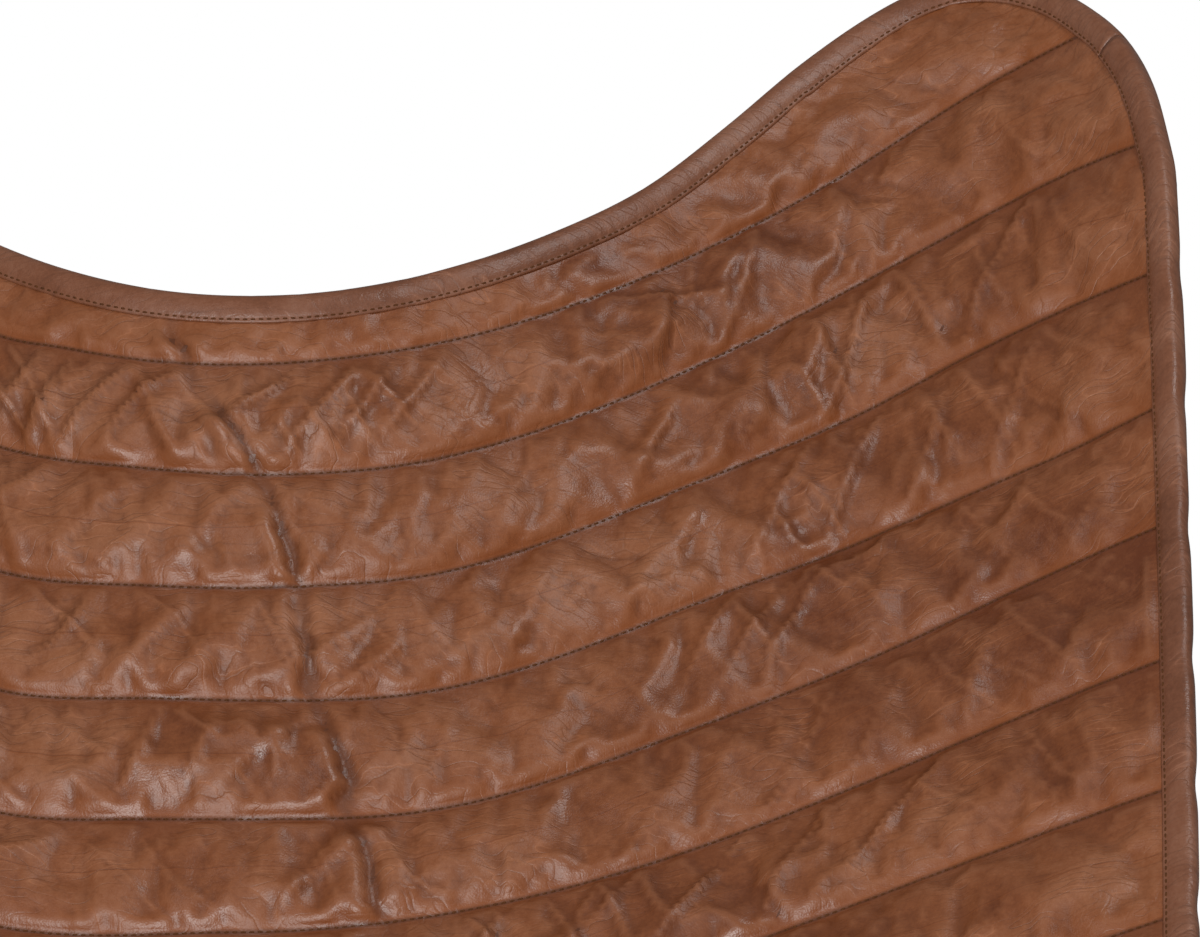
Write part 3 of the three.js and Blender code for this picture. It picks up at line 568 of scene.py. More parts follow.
def leather(name, dark, middle, light, roughness, seams=False):
    g = Graph(name)
    broad, patches, fine = g.noise(7.0, 4.0, 0.3), g.noise(31.0, 5.0, 0.3), g.noise(190.0, 4.0)
    speckle = g.math("SUBTRACT", g.noise(620.0, 2.0), 0.5)
    blend = g.total((broad, 0.5), (patches, 0.36), (fine, 0.14), (speckle, 0.16))
    colour = g.ramp(blend, (0.34, dark), (0.5, middle), (0.66, light))

    # creases, large and small, then pale scuffs and dark scratches
    large = g.times(g.cracks(85.0, 0.02, 30.0), g.span(g.noise(14.0, 2.0), 0.5, 0.72))
    small = g.marks(60.0, 0.0, (1.0, 5.0, 0.35), (0.3, 0.5, 0.5), 26.0, patches, 0.4, 0.6)
    pale = g.marks(48.0, 0.5, (1.0, 5.0, 0.3), (0.2, 0.7, 0.2), 34.0, patches, 0.47, 0.62)
    scratches = g.marks(55.0, 0.5, (0.3, 5.0, 1.0), (0.2, 0.4, 0.4), 34.0, broad, 0.42, 0.6)
    for mask, amount, other in (
        (large, 0.14, shade(dark, 0.6)), (small, 0.26, shade(dark, 0.6)),
        (pale, 0.4, shade(light, 1.6)), (scratches, 0.35, shade(dark, 0.55)),
    ):
        colour = g.tint(colour, mask, amount, other)
    if seams:
        # painted light and shade at the seams, the packing fold, the ridges and the hollows
        colour = painted_light_shade_and_wear(g, colour, dark, middle, light)
    rough = g.span(patches, 0.3, 0.7, roughness - 0.08, roughness + 0.09)
    rough = g.total((rough, 1.0), (g.math("SUBTRACT", fine, 0.5), 0.12))
    relief = g.total((large, -0.00014), (small, -0.00016), (pale, -0.0001),
                     (g.noise(45.0, 2.0), 0.0015), (g.voronoi(1100.0), 0.00007), (fine, 0.00024))
    return g.done(colour, rough, g.bump(relief, 1.0))


def thread_material():
    g = Graph("thread")
    twist = g.noise(2600.0, 2.0)
    g.put(g.shader, "Specular IOR Level", 0.2)
    return g.done(g.ramp(twist, (0.3, linear(66, 37, 16)), (0.7, linear(104, 62, 31))),
                  g.span(twist, 0.3, 0.7, 0.75, 0.95), g.bump(twist, 0.0002, 0.6))


def powder_coat(name, low, high):
    g = Graph(name)
    peel = g.noise(520.0, 3.0)
    under = g.bump(peel, 0.00022, 0.5)
    return g.done(g.ramp(g.noise(18.0, 3.0), (0.35, low), (0.7, high)),
                  g.span(peel, 0.3, 0.7, 0.36, 0.52),
                  g.bump(g.voronoi(1500.0), 0.00006, 0.4, under=under))


def glide_material():
    g = Graph("moulded_plastic")
    wide = g.noise(60.0, 3.0)
    scuffs = g.ridge(g.noise(160.0, 2.0, 0.3, stretch=(1.0, 6.0, 1.0)), 18.0)
    colour = g.ramp(wide, (0.3, linear(24, 24, 25)), (0.7, linear(40, 40, 41)))
    return g.done(g.tint(colour, scuffs, 0.3, linear(92, 92, 92)),
                  g.span(wide, 0.3, 0.7, 0.48, 0.66), g.bump(g.noise(1400.0, 2.0), 0.0001, 0.5))


def felt_material():
    g = Graph("wadding_felt")
    tufts = g.noise(420.0, 5.0, 1.5)
    return g.done(g.ramp(tufts, (0.3, linear(176, 170, 158)), (0.7, linear(222, 217, 206))),
                  g.span(tufts, 0.3, 0.7, 0.9, 1.0), g.bump(tufts, 0.0008, 0.8))


# the face leather carries painted light and shade at its seams, the packing fold, ridges and
# hollows
face_leather = leather("face_leather", linear(98, 48, 20), linear(129, 73, 39),
                       linear(149, 95, 63), 0.43, seams=True)
trim_leather = leather("trim_leather", linear(96, 55, 34), linear(122, 75, 51),
                       linear(139, 94, 71), 0.42)
lining_leather = leather("lining_leather", linear(84, 50, 34), linear(106, 66, 46),
                         linear(124, 82, 60), 0.62)
thread = thread_material()
rod_paint = powder_coat("powder_coat", linear(17, 17, 18), linear(30, 30, 32))
weld_paint = powder_coat("coated_weld", linear(20, 20, 21), linear(33, 33, 34))
plastic = glide_material()
felt = felt_material()


def finish_piece(obj, material, node=None):
    obj.data.materials.append(material)
    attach(obj, "root")
    if node:
        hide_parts(node)
    return obj


# Sheets of the sling

def merged_index(grid, back):
    """The vertex of each point of a grid; all points past the edge share one."""
    index = np.arange(grid.size).reshape(grid.shape)
    for j, column in enumerate(grid.T):
        same = np.nonzero(np.isclose(column, column[0 if back else -1]))[0]
        index[same, j] = index[same[-1 if back else 0], j]
    return index


def sheet_grid(back, per_channel, count):
    """Stitch-line places of a panel's grid, drawn in to the edge of the sling."""
    shares = np.linspace(-1, 1, count + 1)
    if back:
        lines = np.arange(-5, HIDE_SEAM_ROW * per_channel + 1) / per_channel
        lines[-1] -= SEAM_GAP / ROW_PITCH
    else:
        stop = int(GRID_FRONT_LINE * per_channel)
        lines = np.arange(HIDE_SEAM_ROW * per_channel, stop + 1) / per_channel
        lines[0] += SEAM_GAP / ROW_PITCH
    edge = edge_row(shares, back)
    edge = edge - wander(shares, edge)
    grid = np.repeat(lines[:, None], len(shares), axis=1)
    slack = 0.35 / per_channel
    for column, end in zip(grid.T, edge):
        past = column < end + slack if back else column > end - slack
        column[past] = end
    return shares, grid, merged_index(grid, back)


def grid_faces(index, flip=False):
    corners = [index[:-1, :-1], index[1:, :-1], index[1:, 1:], index[:-1, 1:]]
    faces = []
    for quad in np.stack(corners, -1).reshape(-1, 4).tolist():
        kept = [v for i, v in enumerate(quad) if v != quad[i - 1]]
        if len(kept) >= 3 and len(set(kept)) == len(kept):
            faces.append(kept[::-1] if flip else kept)
    return faces


def renumbered(faces, used):
    """Faces in which each vertex has the number of its place in the list used."""
    place = np.full(used[-1] + 1, -1)
    place[used] = np.arange(len(used))
    return [place[face].tolist() for face in faces]


def border_loop(index):
    """The vertices once round the edge of a grid."""
    walk = np.concatenate([index[0], index[1:, -1], index[-1, -2::-1], index[-2:0:-1, 0]])
    loop = [int(v) for i, v in enumerate(walk) if i == 0 or v != walk[i - 1]]
    return loop[:-1] if loop[0] == loop[-1] else loop


def zip_loops(outer, inner, points):
    """Faces that join two loops of vertices that run side by side."""
    gaps = np.linalg.norm(points[inner] - points[outer[0]], axis=1)
    start = int(np.argmin(gaps))
    outer, inner = outer + outer[:1], inner[start:] + inner[:start + 1]
    a, b = lengths_along(points[outer]), lengths_along(points[inner])
    a, b = a / a[-1], b / b[-1]
    faces, i, j = [], 0, 0
    while i < len(outer) - 1 or j < len(inner) - 1:
        if j >= len(inner) - 1 or (i < len(outer) - 1 and a[i + 1] <= b[j + 1]):
            faces.append([outer[i], outer[i + 1], inner[j]])
            i += 1
        else:
            faces.append([outer[i], inner[j + 1], inner[j]])
            j += 1
    return faces


def closed_slab(name, upper, upper_index, lower, lower_index, attributes=None):
    """One closed body between a fine upper grid and a coarser lower grid."""
    points = np.concatenate([upper.reshape(-1, 3), lower.reshape(-1, 3)])
    lower_index = lower_index + upper_index.size
    faces = grid_faces(upper_index) + grid_faces(lower_index, flip=True)
    faces += zip_loops(border_loop(upper_index), border_loop(lower_index), points)
    used = np.unique(np.concatenate(faces))
    kept = {key: np.concatenate([top.ravel(), np.zeros(lower_index.size)])[used]
            for key, top in (attributes or {}).items()}
    return make_mesh(name, points[used], renumbered(faces, used), kept)


def channel_place(shares, grid, back):
    """How far across its channel each point is, and how wide the channel is, in rows."""
    strip = BINDING_WIDTH / ROW_PITCH
    low = np.floor(grid + 1e-6)
    high = low + 1
    edge = edge_row(shares, back)
    if back:
        low = np.maximum(low, edge - wander(shares, edge) + strip)
    else:
        high = np.minimum(high, edge - strip)
    width = np.clip(high - low, 1e-3, 1)
    return np.clip((grid - low) / width, 0, 1), width


# The channels' swell in mm: its crown before the cloth, the least crown, and how far
# the cloth may rise and slide
CHANNEL_CROWN = 7.2
LEAST_CROWN = 2.3
RISE_LIMIT, RISE_EASE = 6.0, 3.0
SLIDE_LIMIT = 3.0
CLOTH_FRAMES = 16
CLOTH = {
    "quality": 5, "mass": 0.4, "tension_stiffness": 18, "compression_stiffness": 18,
    "shear_stiffness": 8, "bending_stiffness": 2.0, "tension_damping": 12,
    "compression_damping": 12, "shear_damping": 8, "bending_damping": 1.0, "air_damping": 4,
    "vertex_group_mass": "held", "shrink_min": -0.016, "shrink_max": -0.016,
    "use_pressure": True, "uniform_pressure_force": 3.0,
}


def cloth_swell(start, faces, pinned):
    """Cloth simulation of a face panel that is held along its stitching."""
    scene = bpy.context.scene
    obj = make_mesh("swelling_cloth", start, faces)
    obj.vertex_groups.new(name="held").add(np.nonzero(pinned)[0].tolist(), 1.0, "REPLACE")
    cloth = obj.modifiers.new("cloth", "CLOTH")
    for key, value in CLOTH.items():
        setattr(cloth.settings, key, value)
    cloth.settings.effector_weights.gravity = 0
    cloth.collision_settings.use_collision = False
    cloth.point_cache.frame_start, cloth.point_cache.frame_end = 1, CLOTH_FRAMES
    scene.frame_start, scene.frame_end = 1, CLOTH_FRAMES
    for f in range(1, CLOTH_FRAMES + 1):
        scene.frame_set(f)
    swollen = obj.evaluated_get(bpy.context.evaluated_depsgraph_get())
    result = swollen.to_mesh()
    moved = np.empty(len(result.vertices) * 3)
    result.vertices.foreach_get("co", moved)
    swollen.to_mesh_clear()
    mesh = obj.data
    bpy.data.objects.remove(obj)
    bpy.data.meshes.remove(mesh)
    scene.frame_set(1)
    return moved.reshape(-1, 3) / MM


# The packing fold in section: height, distance from its line, and width, in mm
FOLD_SECTION = [(-3.4, 0.0, 3.0), (2.6, -7.0, 4.6), (1.0, 8.0, 5.0)]
HALF_WIDTH_AT_FOLD = 395.0


def fold_distance(share, row):
    """Signed distance from the packing fold, in mm, and how strong the fold is."""
    middle = through_table(sorted((r, s) for s, r in PACKING_FOLD), row)
    jitter = ((value_noise(row * 2.6, 0 * row, 71) - 0.5) * 8
              + (value_noise(row * 8.0, 0 * row, 72) - 0.5) * 2.4)
    strength = smoothstep((row - 0.45) / 0.2) * smoothstep((7.4 - row) / 2.5)
    return (share - middle) * HALF_WIDTH_AT_FOLD + jitter, strength


# Wrinkles: about how many mm one share and one row are, and a factor on their height
WRINKLE_SHARE, WRINKLE_ROW = 400.0, 62.0
WRINKLE_FACTOR = 1.35


def named_wrinkle(u, v, start, end, rise):
    """One wrinkle with a steep side and a gentle one."""
    (ax, ay), (bx, by) = ((s * WRINKLE_SHARE, r * WRINKLE_ROW) for s, r in (start, end))
    long_x, long_y = bx - ax, by - ay
    reach = math.hypot(long_x, long_y)
    along = ((u - ax) * long_x + (v - ay) * long_y) / reach ** 2
    side = ((u - ax) * long_y - (v - ay) * long_x) / reach + 2.0 * np.sin(along * 5.0)
    body = np.exp(-(np.where(side > 0, side / 3.0, side / 7.0)) ** 2)
    return rise * body * np.exp(-((along - 0.5) / 0.42) ** 4)


def wrinkles(share, row, across, width):
    """Height of the fine folds of the leather, in mm."""
    u, v = share * WRINKLE_SHARE, row * WRINKLE_ROW
    line = np.floor(row)
    height = np.zeros_like(u)
    # tucks that start at the stitching, from both sides of a channel
    for distance, seed, key in ((across * width * ROW_PITCH, 11, line),
                                ((1 - across) * width * ROW_PITCH, 23, line + 1)):
        lean = (value_noise(u / 60, key * 3.7, seed) - 0.5) * 1.4
        along = u + distance * lean
        size = 0.35 + 0.9 * value_noise(u / 38, key * 5.1, seed + 1)
        tuck = ridges(along / 11.0, key * 9.3, seed + 2, 2.2) - 0.35
        tuck += 0.5 * (ridges(along / 5.6, key * 4.9, seed + 3, 2.0) - 0.35)
        height += size * tuck * np.exp(-distance / 9.0) * smoothstep(distance / 3.0)
    # broad folds over the middle of the channels, in patches
    sway = (clouds(u / 110, v / 110, 31) - 0.5) * 60
    broad = ridges((u + 0.5 * v + sway) / 21.0, v / 74.0, 41, 3.0) - 0.25
    cross = ridges((u - 0.6 * v + sway) / 19.0, (v + 0.3 * u) / 62.0, 43, 3.6) - 0.18
    where = smoothstep((clouds(u / 120, v / 80, 47) - 0.36) / 0.3)
    where = where * (1 - 0.8 * smoothstep((np.abs(share) - 0.62) / 0.25))
    height += ((0.22 + 0.78 * where) * (3.0 * broad + 2.4 * cross)
               * np.minimum(1, 4 * across * (1 - across) + 0.2))
    for start, end, rise in NAMED_WRINKLES:
        height += named_wrinkle(u, v, start, end, rise)
    fine = ridges((u + 0.25 * v + 0.5 * sway) / 9.5, (v - 0.2 * u) / 21.0, 53, 2.0) - 0.33
    return height + 0.5 * fine * smoothstep((clouds(u / 55, v / 55, 59) - 0.4) / 0.25)


def swell(height, point, normal, share, row, grid, across, edge_distance, back):
    """The cloth's height over the face and its sideways shift, from every second point."""
    start = 1 if back else 0
    pick = (slice(start, None, 2), slice(None, None, 2))
    normal, lines, edge_gap = normal[pick], grid[pick], edge_distance[pick]
    loose = across[pick] * (1 - across[pick]) > 0.02
    nudge = (clouds(share[pick] * 21, row[pick] * 2.6, 83) - 0.5) * 2.2 * loose
    rest = FACE_TOP + 0.6 * height[pick] + nudge
    base = (point[pick] + normal * rest[..., None]).reshape(-1, 3)
    held = np.isclose(lines, np.round(lines), atol=0.01) | (edge_gap < BINDING_WIDTH + 1)
    held[[0, -1], :] = True
    index = merged_index(lines, back)
    used = np.unique(index)
    faces = renumbered(grid_faces(index), used)
    shift = np.zeros_like(base)
    shift[used] = cloth_swell(base[used], faces, held.ravel()[used]) - base[used]
    shift = shift[index.ravel()].reshape(normal.shape)
    out = np.sum(shift * normal, axis=-1)
    slide = shift - out[..., None] * normal
    reach = np.linalg.norm(slide, axis=-1, keepdims=True)
    slide *= np.minimum(1, SLIDE_LIMIT / np.maximum(reach, 1e-6))
    out = rest + out - FACE_TOP
    eased = RISE_LIMIT + RISE_EASE * np.tanh((out - RISE_LIMIT) / RISE_EASE)
    out = np.where(out > RISE_LIMIT, eased, out)
    fine = upsample(np.concatenate([out[..., None], slide], -1),
                    (grid.shape[0] - start, grid.shape[1]))
    fine = np.concatenate([fine[:start], fine], axis=0)
    soft = smoothstep(edge_distance / (BINDING_WIDTH + 6.0))
    return np.maximum(fine[..., 0], 0) * soft, fine[..., 1:] * soft[..., None]


def panel_grid(back, size):
    """A panel's grid on the middle surface, and each point's place in its channel."""
    shares, grid, index = sheet_grid(back, *size)
    share = np.broadcast_to(shares, grid.shape)
    row = grid + wander(share, grid)
    point, normal, _, _ = sling_frame(share, row)
    return grid, index, share, row, point, normal, *channel_place(shares, grid, back)


def face_panel(name, back, node):
    """The quilted leather of one panel: swollen channels, wrinkles and the packing fold."""
    grid, index, share, row, point, normal, across, width = panel_grid(back, FACE_GRID)
    edge_distance = rim_distance(point)
    inside = smoothstep((edge_distance - BINDING_WIDTH - 1.0) / 34.0)
    skew = across ** 1.3
    hump = (4 * skew * (1 - skew)) ** 0.74 * width ** 0.8
    uneven = 0.86 + 0.3 * clouds(share * 5.2, np.floor(grid) * 7.7 + across * 0.8, 5)
    height = CHANNEL_CROWN * hump * uneven * (0.25 + 0.75 * inside)
    height = np.where(edge_distance < BINDING_WIDTH, 0, height)
    sideways = np.zeros_like(point)
    height, sideways = swell(height, point, normal, share, row, grid, across,
                             edge_distance, back)

    height = height + (WRINKLE_FACTOR * wrinkles(share, grid, across, width)
                       * inside * np.minimum(1, hump * 2.2))
    fold = np.zeros_like(height)
    if back:
        away, strength = fold_distance(share, row)
        groove = sum(rise * np.exp(-((away - at) / reach) ** 2) for rise, at, reach in FOLD_SECTION)
        strength = strength * (0.5 + 0.5 * smoothstep((across - 0.1) / 0.5))
        tucks = ridges(grid * 2.6 + away / 34.0, away / 60.0, 91, 2.4) - 0.35
        groove += 2.2 * tucks * np.exp(-(np.abs(away) / 42.0) ** 2)
        clear = smoothstep((edge_distance - BINDING_WIDTH - 1) / 9.0)
        height = height + groove * strength * clear * np.minimum(1, hump * 1.6 + 0.3)
        # painted shade along the crease of the packing fold
        fold = strength * np.exp(-((away - 0.5) / 2.6) ** 2)
    height = np.maximum(height, LEAST_CROWN * 4 * across * (1 - across) * width * inside)

    # what the leather's looks, painted light and shade among them, follow: distance from a seam,
    # ridges and hollows
    line = np.round(grid)
    seam = (grid - line) * (ROW_PITCH + 14 * np.abs(share))
    first = 1 if back else HIDE_SEAM_ROW
    seam = np.where((line < first) | (line > LAST_ROW), 30.0, seam)
    curve = np.zeros_like(height)
    curve[1:-1, 1:-1] = (4 * height[1:-1, 1:-1] - height[:-2, 1:-1] - height[2:, 1:-1]
                         - height[1:-1, :-2] - height[1:-1, 2:])
    seam_distance = np.minimum(across, 1 - across) * width * ROW_PITCH
    # darker in hollows: partly dye, partly painted shade
    dip = np.clip(-curve * 0.8, 0, 1) * smoothstep((seam_distance - 1.5) / 5.0) * inside
    # ridges lighter: partly pull-up wear, partly painted highlight
    looks = {"seam": seam, "fold": fold, "ridge_wear_and_sheen": np.clip(curve * 0.9, 0, 1), "dip": dip}

    top = point + normal * (FACE_TOP + height)[..., None] + sideways
    pick = (slice(1 if back else 0, None, 2), slice(None, None, 2))
    bottom = (top - normal * FACE_THICKNESS)[pick]
    obj = closed_slab(name, top, index, bottom, merged_index(grid[pick], back), looks)
    return finish_piece(obj, face_leather, node)


def under_layer(name, back, node, upper, lower, material, slot, puff=0.0):
    """A lining, or a wadding that puffs out between the stitched lines."""
    _, index, share, row, point, normal, across, width = panel_grid(back, LAYER_GRID)
    inside = smoothstep((rim_distance(point) - BINDING_WIDTH) / 40.0)
    hump = (4 * across * (1 - across)) * width * inside
    under = np.full_like(hump, lower)
    if not puff:
        under -= 0.5 * hump + 0.35 * (clouds(share * 30, row * 5, 67) - 0.5) * hump
    top = point + normal * (upper + puff * hump)[..., None]
    obj = closed_slab(name, top, index, point + normal * under[..., None], index)
    return finish_piece(obj, material, node)


back_face = face_panel("sling_back_hide", True, "sling_back_face")
seat_face = face_panel("sling_seat_hide", False, "sling_seat_face")
lining = (LINING_TOP, LINING_BOTTOM, lining_leather, "lining_leather")
wadding = (WADDING_TOP, 0.0, felt, "padding", WADDING_PUFF)
back_lining = under_layer("sling_back_backing", True, "sling_back_lining", *lining)
seat_lining = under_layer("sling_seat_backing", False, "sling_seat_lining", *lining)
back_wadding = under_layer("sling_back_wadding", True, "sling_back_padding", *wadding)
seat_wadding = under_layer("sling_seat_wadding", False, "sling_seat_padding", *wadding)


# The rod frame

TO_PART = np.array([0, PART_SHIFT, 0])
BEND_STEPS, BOW_POINTS, LOWEST_STEPS = 28, 25, 60
WELD_HALF_SIZE = (8.6, 6.8, 6.4)  # along, across and outward


def round_bend(corner, before, after, radius, steps):
    back, forth = unit(before - corner), unit(after - corner)
    half = math.acos(float(np.clip(back @ forth, -1, 1))) / 2
    inwards, sideways = unit(back + forth), unit(forth - back)
    centre = corner + inwards * radius / math.sin(half)
    angles = np.linspace(half - math.pi / 2, math.pi / 2 - half, steps + 1)
    return (centre - inwards * (radius * np.cos(angles))[:, None]
            + sideways * (radius * np.sin(angles))[:, None]), sideways


def foot_corner(side, depth, before, after):
    """The corner of a floor bend whose lowest point rests on a glide's sole."""
    corner = np.array([side * FOOT_HALF_WIDTH, depth, 0.0])
    for _ in range(6):
        bend, _ = round_bend(corner, before, after, FLOOR_BEND_RADIUS, 24)
        corner[2] += GLIDE_SOLE + ROD_RADIUS - bend[:, 2].min()
    return corner


def loop_corners(side):
    """The four corners of a loop, by turns an upper one and one on the floor."""
    top, far = np.array([side, 1, 1]) * FRONT_APEX, np.array([-side, 1, 1]) * BACK_APEX
    return [top, foot_corner(side, FOOT_DEPTH, top, far),
            far, foot_corner(-side, -FOOT_DEPTH, far, top)]


loops = {"a": loop_corners(1), "b": loop_corners(-1)}


def corner_and_neighbours(name, index):
    corners = loops[name]
    return corners[index], corners[index - 1], corners[(index + 1) % 4]


def crossing(leg_a, leg_b):
    """Where a leg of one loop passes a leg of the other."""
    start_a, _, end_a = corner_and_neighbours("a", leg_a)
    start_b, _, end_b = corner_and_neighbours("b", leg_b)
    a, b = unit(end_a - start_a), unit(end_b - start_b)
    between, slant = start_b - start_a, float(a @ b)
    along = (between @ a - (between @ b) * slant) / (1 - slant ** 2)
    point_a = start_a + a * along
    point_b = start_b + b * (along * slant - between @ b)
    middle = (point_a + point_b) / 2
    outward = unit(np.cross(a, b))
    outward = outward * np.sign(outward @ np.array([middle[0], middle[1], 0]))
    return {"legs": {"a": leg_a, "b": leg_b}, "middle": middle, "outward": outward,
            "points": {"a": point_a, "b": point_b}, "ways": (a, b)}


crossings = {"right": crossing(0, 2), "back": crossing(1, 1),
             "left": crossing(2, 0), "front": crossing(3, 3)}


def loop_path(name):
    """The middle line of a rod, which bows at each crossing to clear the other rod."""
    way = (ROD_RADIUS + ROD_CROSSING_GAP / 2) * (1 if name == "a" else -1)
    shares = np.linspace(-1, 1, BOW_POINTS)
    bow = (1 + np.cos(np.pi * shares)) / 2
    parts = []
    for leg in range(4):
        radius = FLOOR_BEND_RADIUS if leg % 2 else TOP_BEND_RADIUS
        corner, before, after = corner_and_neighbours(name, leg)
        cross = next(c for c in crossings.values() if c["legs"][name] == leg)
        point = cross["points"][name]
        shift = cross["middle"] + cross["outward"] * way - point
        parts.append(round_bend(corner, before, after, radius, BEND_STEPS)[0])
        parts.append(point + unit(after - corner) * (shares * CROSSING_BOW_REACH)[:, None]
                     + shift * bow[:, None])
    return np.concatenate(parts)


def rod_piece(name, sides=28):
    """A closed rod whose rings turn as little as possible from one to the next."""
    points = loop_path(name)
    tangent = unit(np.roll(points, -1, axis=0) - np.roll(points, 1, axis=0))
    side = unit(np.cross(tangent[0], [0.3, 0.2, 1.0]))
    angles = np.linspace(0, 2 * np.pi, sides, endpoint=False)[:, None]
    rings = []
    for point, way in zip(points, tangent):
        side = unit(side - way * (side @ way))
        rings.append(point + ROD_RADIUS * (np.cos(angles) * side
                                           + np.sin(angles) * np.cross(way, side)))
    rings = np.array(rings)
    gaps = [np.linalg.norm(rings[-1] - np.roll(rings[0], -k, axis=0), axis=1).sum()
            for k in range(sides)]
    faces = ring_faces(len(rings), sides, twist=int(np.argmin(gaps)))
    rod = make_mesh(f"rod_loop_{name}", rings + TO_PART, faces)
    finish_piece(rod, rod_paint, f"frame_loop_{name}")


def weld_piece(side, cross, rings=20, segments=40):
    """A rippled weld bead that fills the corner between two crossing rods."""
    a, b = cross["ways"]
    longways = unit(a + b * np.sign(a @ b))
    sideways = np.cross(cross["outward"], longways)
    lat, lon = np.meshgrid(np.linspace(0.02, np.pi - 0.02, rings),
                           np.linspace(0, 2 * np.pi, segments, endpoint=False), indexing="ij")
    ripple = (1 + 0.035 * np.sin(9 * lon + 3 * lat)
              + 0.03 * (value_noise(lon * 3, lat * 3, 7) - 0.5))
    long_half, wide_half, high_half = WELD_HALF_SIZE
    x = np.sin(lat) * np.cos(lon) * long_half * ripple
    y = np.sin(lat) * np.sin(lon) * wide_half * ripple
    z = np.cos(lat) * high_half
    points = (cross["middle"] + x[..., None] * longways + y[..., None] * sideways
              + z[..., None] * cross["outward"])
    faces = [face[:1] + face[:0:-1] for face in ring_faces(rings, segments)]
    obj = make_mesh(f"weld_bead_{side}", points + TO_PART, faces)
    finish_piece(obj, weld_paint, f"weld_{side}")


# Levels of a glide, from its sole up: height, and how far its edge is drawn in
GLIDE_LEVELS = [(0.0, 1.0), (0.0, 0.25), (0.35, 0.0), (4.2, 0.0), (6.4, 0.25), (7.6, 0.9),
                (8.1, 1.8)]


def glide_piece(place, name, index, sides=64):
    """A moulded glide with rounded edges, turned along its floor bend."""
    bend, way = round_bend(*corner_and_neighbours(name, index), FLOOR_BEND_RADIUS, LOWEST_STEPS)
    lowest = bend[np.argmin(bend[:, 2])]
    turn = math.atan2(way[1], way[0])
    angles = np.linspace(0, 2 * np.pi, sides, endpoint=False)
    rings = []
    for height, inset in GLIDE_LEVELS:
        corner = max(GLIDE_CORNER - inset, 1.0)
        x, y = (np.where(np.abs(c) < 1e-9, 0, np.sign(c) * (size / 2 - inset - corner) + corner * c)
                for c, size in ((np.cos(angles), GLIDE_LENGTH), (np.sin(angles), GLIDE_WIDTH)))
        rings.append(np.stack([lowest[0] + x * math.cos(turn) - y * math.sin(turn),
                               lowest[1] + x * math.sin(turn) + y * math.cos(turn),
                               np.full_like(x, height)], -1))
    obj = make_mesh(f"floor_glide_{place}", np.array(rings) + TO_PART,
                    ring_faces(len(rings), sides))
    finish_piece(obj, plastic, f"glide_{place}")


for name in loops:
    rod_piece(name)
for side, cross in crossings.items():
    weld_piece(side, cross)
for place, name, index in (("back_right", "a", 1), ("front_left", "a", 3),
                           ("back_left", "b", 1), ("front_right", "b", 3)):
    glide_piece(place, name, index)


# Pockets, on the points of the rim that the CAD source has

columns = [-c for c in COLUMNS[:0:-1]] + COLUMNS
side_rows = np.arange(math.ceil(float(edge_row(1, True)) * 2) / 2,
                      float(edge_row(1, False)) - 0.25, 0.5)
cad_rim = round_rim(np.array(columns, float), side_rows)
cad_rim_points = sling_point(*cad_rim.T)
front_start = len(columns) + len(side_rows)
back_span = len(columns) - columns.index(BACK_POCKET_SHARE)
front_span = len(columns) - columns.index(FRONT_POCKET_SHARE)
# for each pocket its side, its first point on the rim, and whether it is at the back
pockets = {
    "back_right": (1, len(columns) - back_span, True),
    "front_right": (1, front_start + front_span - len(FRONT_MOUTH), False),
    "front_left": (-1, front_start + len(columns) - front_span, False),
    "back_left": (-1, len(cad_rim) + back_span - len(BACK_MOUTH), True),
}


def cad_place_inside(index, distance):
    count = len(cad_rim)
    place = cad_rim[index % count]
    point, normal, across, along = sling_frame(*place)
    tangent = unit(cad_rim_points[(index + 1) % count] - cad_rim_points[(index - 1) % count])
    step = inward(point, normal, tangent, float(HIDE_SEAM_ROW)) * distance
    return places_inward(place, across, along, step)


def pocket_offset(side, back, point, normal, weight):
    """How far off the middle surface a pocket lies, to go over the bend of its rod."""
    name = "b" if back == (side > 0) else "a"
    apex, before, after = (corner + TO_PART
                           for corner in corner_and_neighbours(name, 2 if back else 0))
    away = unit(np.cross(before - apex, after - apex))
    away = away * -np.sign(away @ normal)
    needed = ROD_RADIUS + POCKET_CLEARANCE - away @ (point - apex)
    depth = needed / -(away @ normal)
    return min(POCKET_TOP, POCKET_TOP * (1 - weight) - depth * weight)


def pocket_grid(side, first, back):
    mouth = BACK_MOUTH if back else FRONT_MOUTH
    if (side > 0) != back:
        mouth = mouth[::-1]
    rows = []
    for index, (share, row) in enumerate(mouth, first):
        sewn = cad_place_inside(index, RIM_STRIP)
        end = np.array([side * share, row])
        start = sling_point(*sewn)
        near = cad_place_inside(index, POCKET_SLOPE_REACH)
        if np.linalg.norm(start - sling_point(*end)) <= POCKET_SLOPE_REACH:
            near = sewn * 0.45 + end * 0.55
        points = []
        line = [cad_rim[index % len(cad_rim)], sewn, near, (near + end) / 2, end]
        for j, place in enumerate(line):
            point, normal, _, _ = sling_frame(*place)
            past = 0 if j == 0 else np.linalg.norm(point - start)
            weight = min(1, past / (POCKET_SLOPE_REACH - RIM_STRIP))
            points.append(point + normal * pocket_offset(side, back, point, normal, weight))
        rows.append(points)
    return np.array(rows)


def strip_piece(name, rings, material, node):
    """A closed strip through rings of points."""
    obj = face_outward(make_mesh(name, rings, ring_faces(*rings.shape[:2])))
    return finish_piece(obj, material, node)


# The outer side of a hem: how far past the mouth, and the height over the panel
HEM_PROFILE = [(-HEM_WIDTH, 1.0, 0.0), (-HEM_WIDTH * 0.9, 1.0, 0.15), (-HEM_WIDTH * 0.5, 1.0, 0.3),
               (-1.0, 1.0, 0.25), (0.6, 0.6, 0.0)]
HEM_SKIP = 8


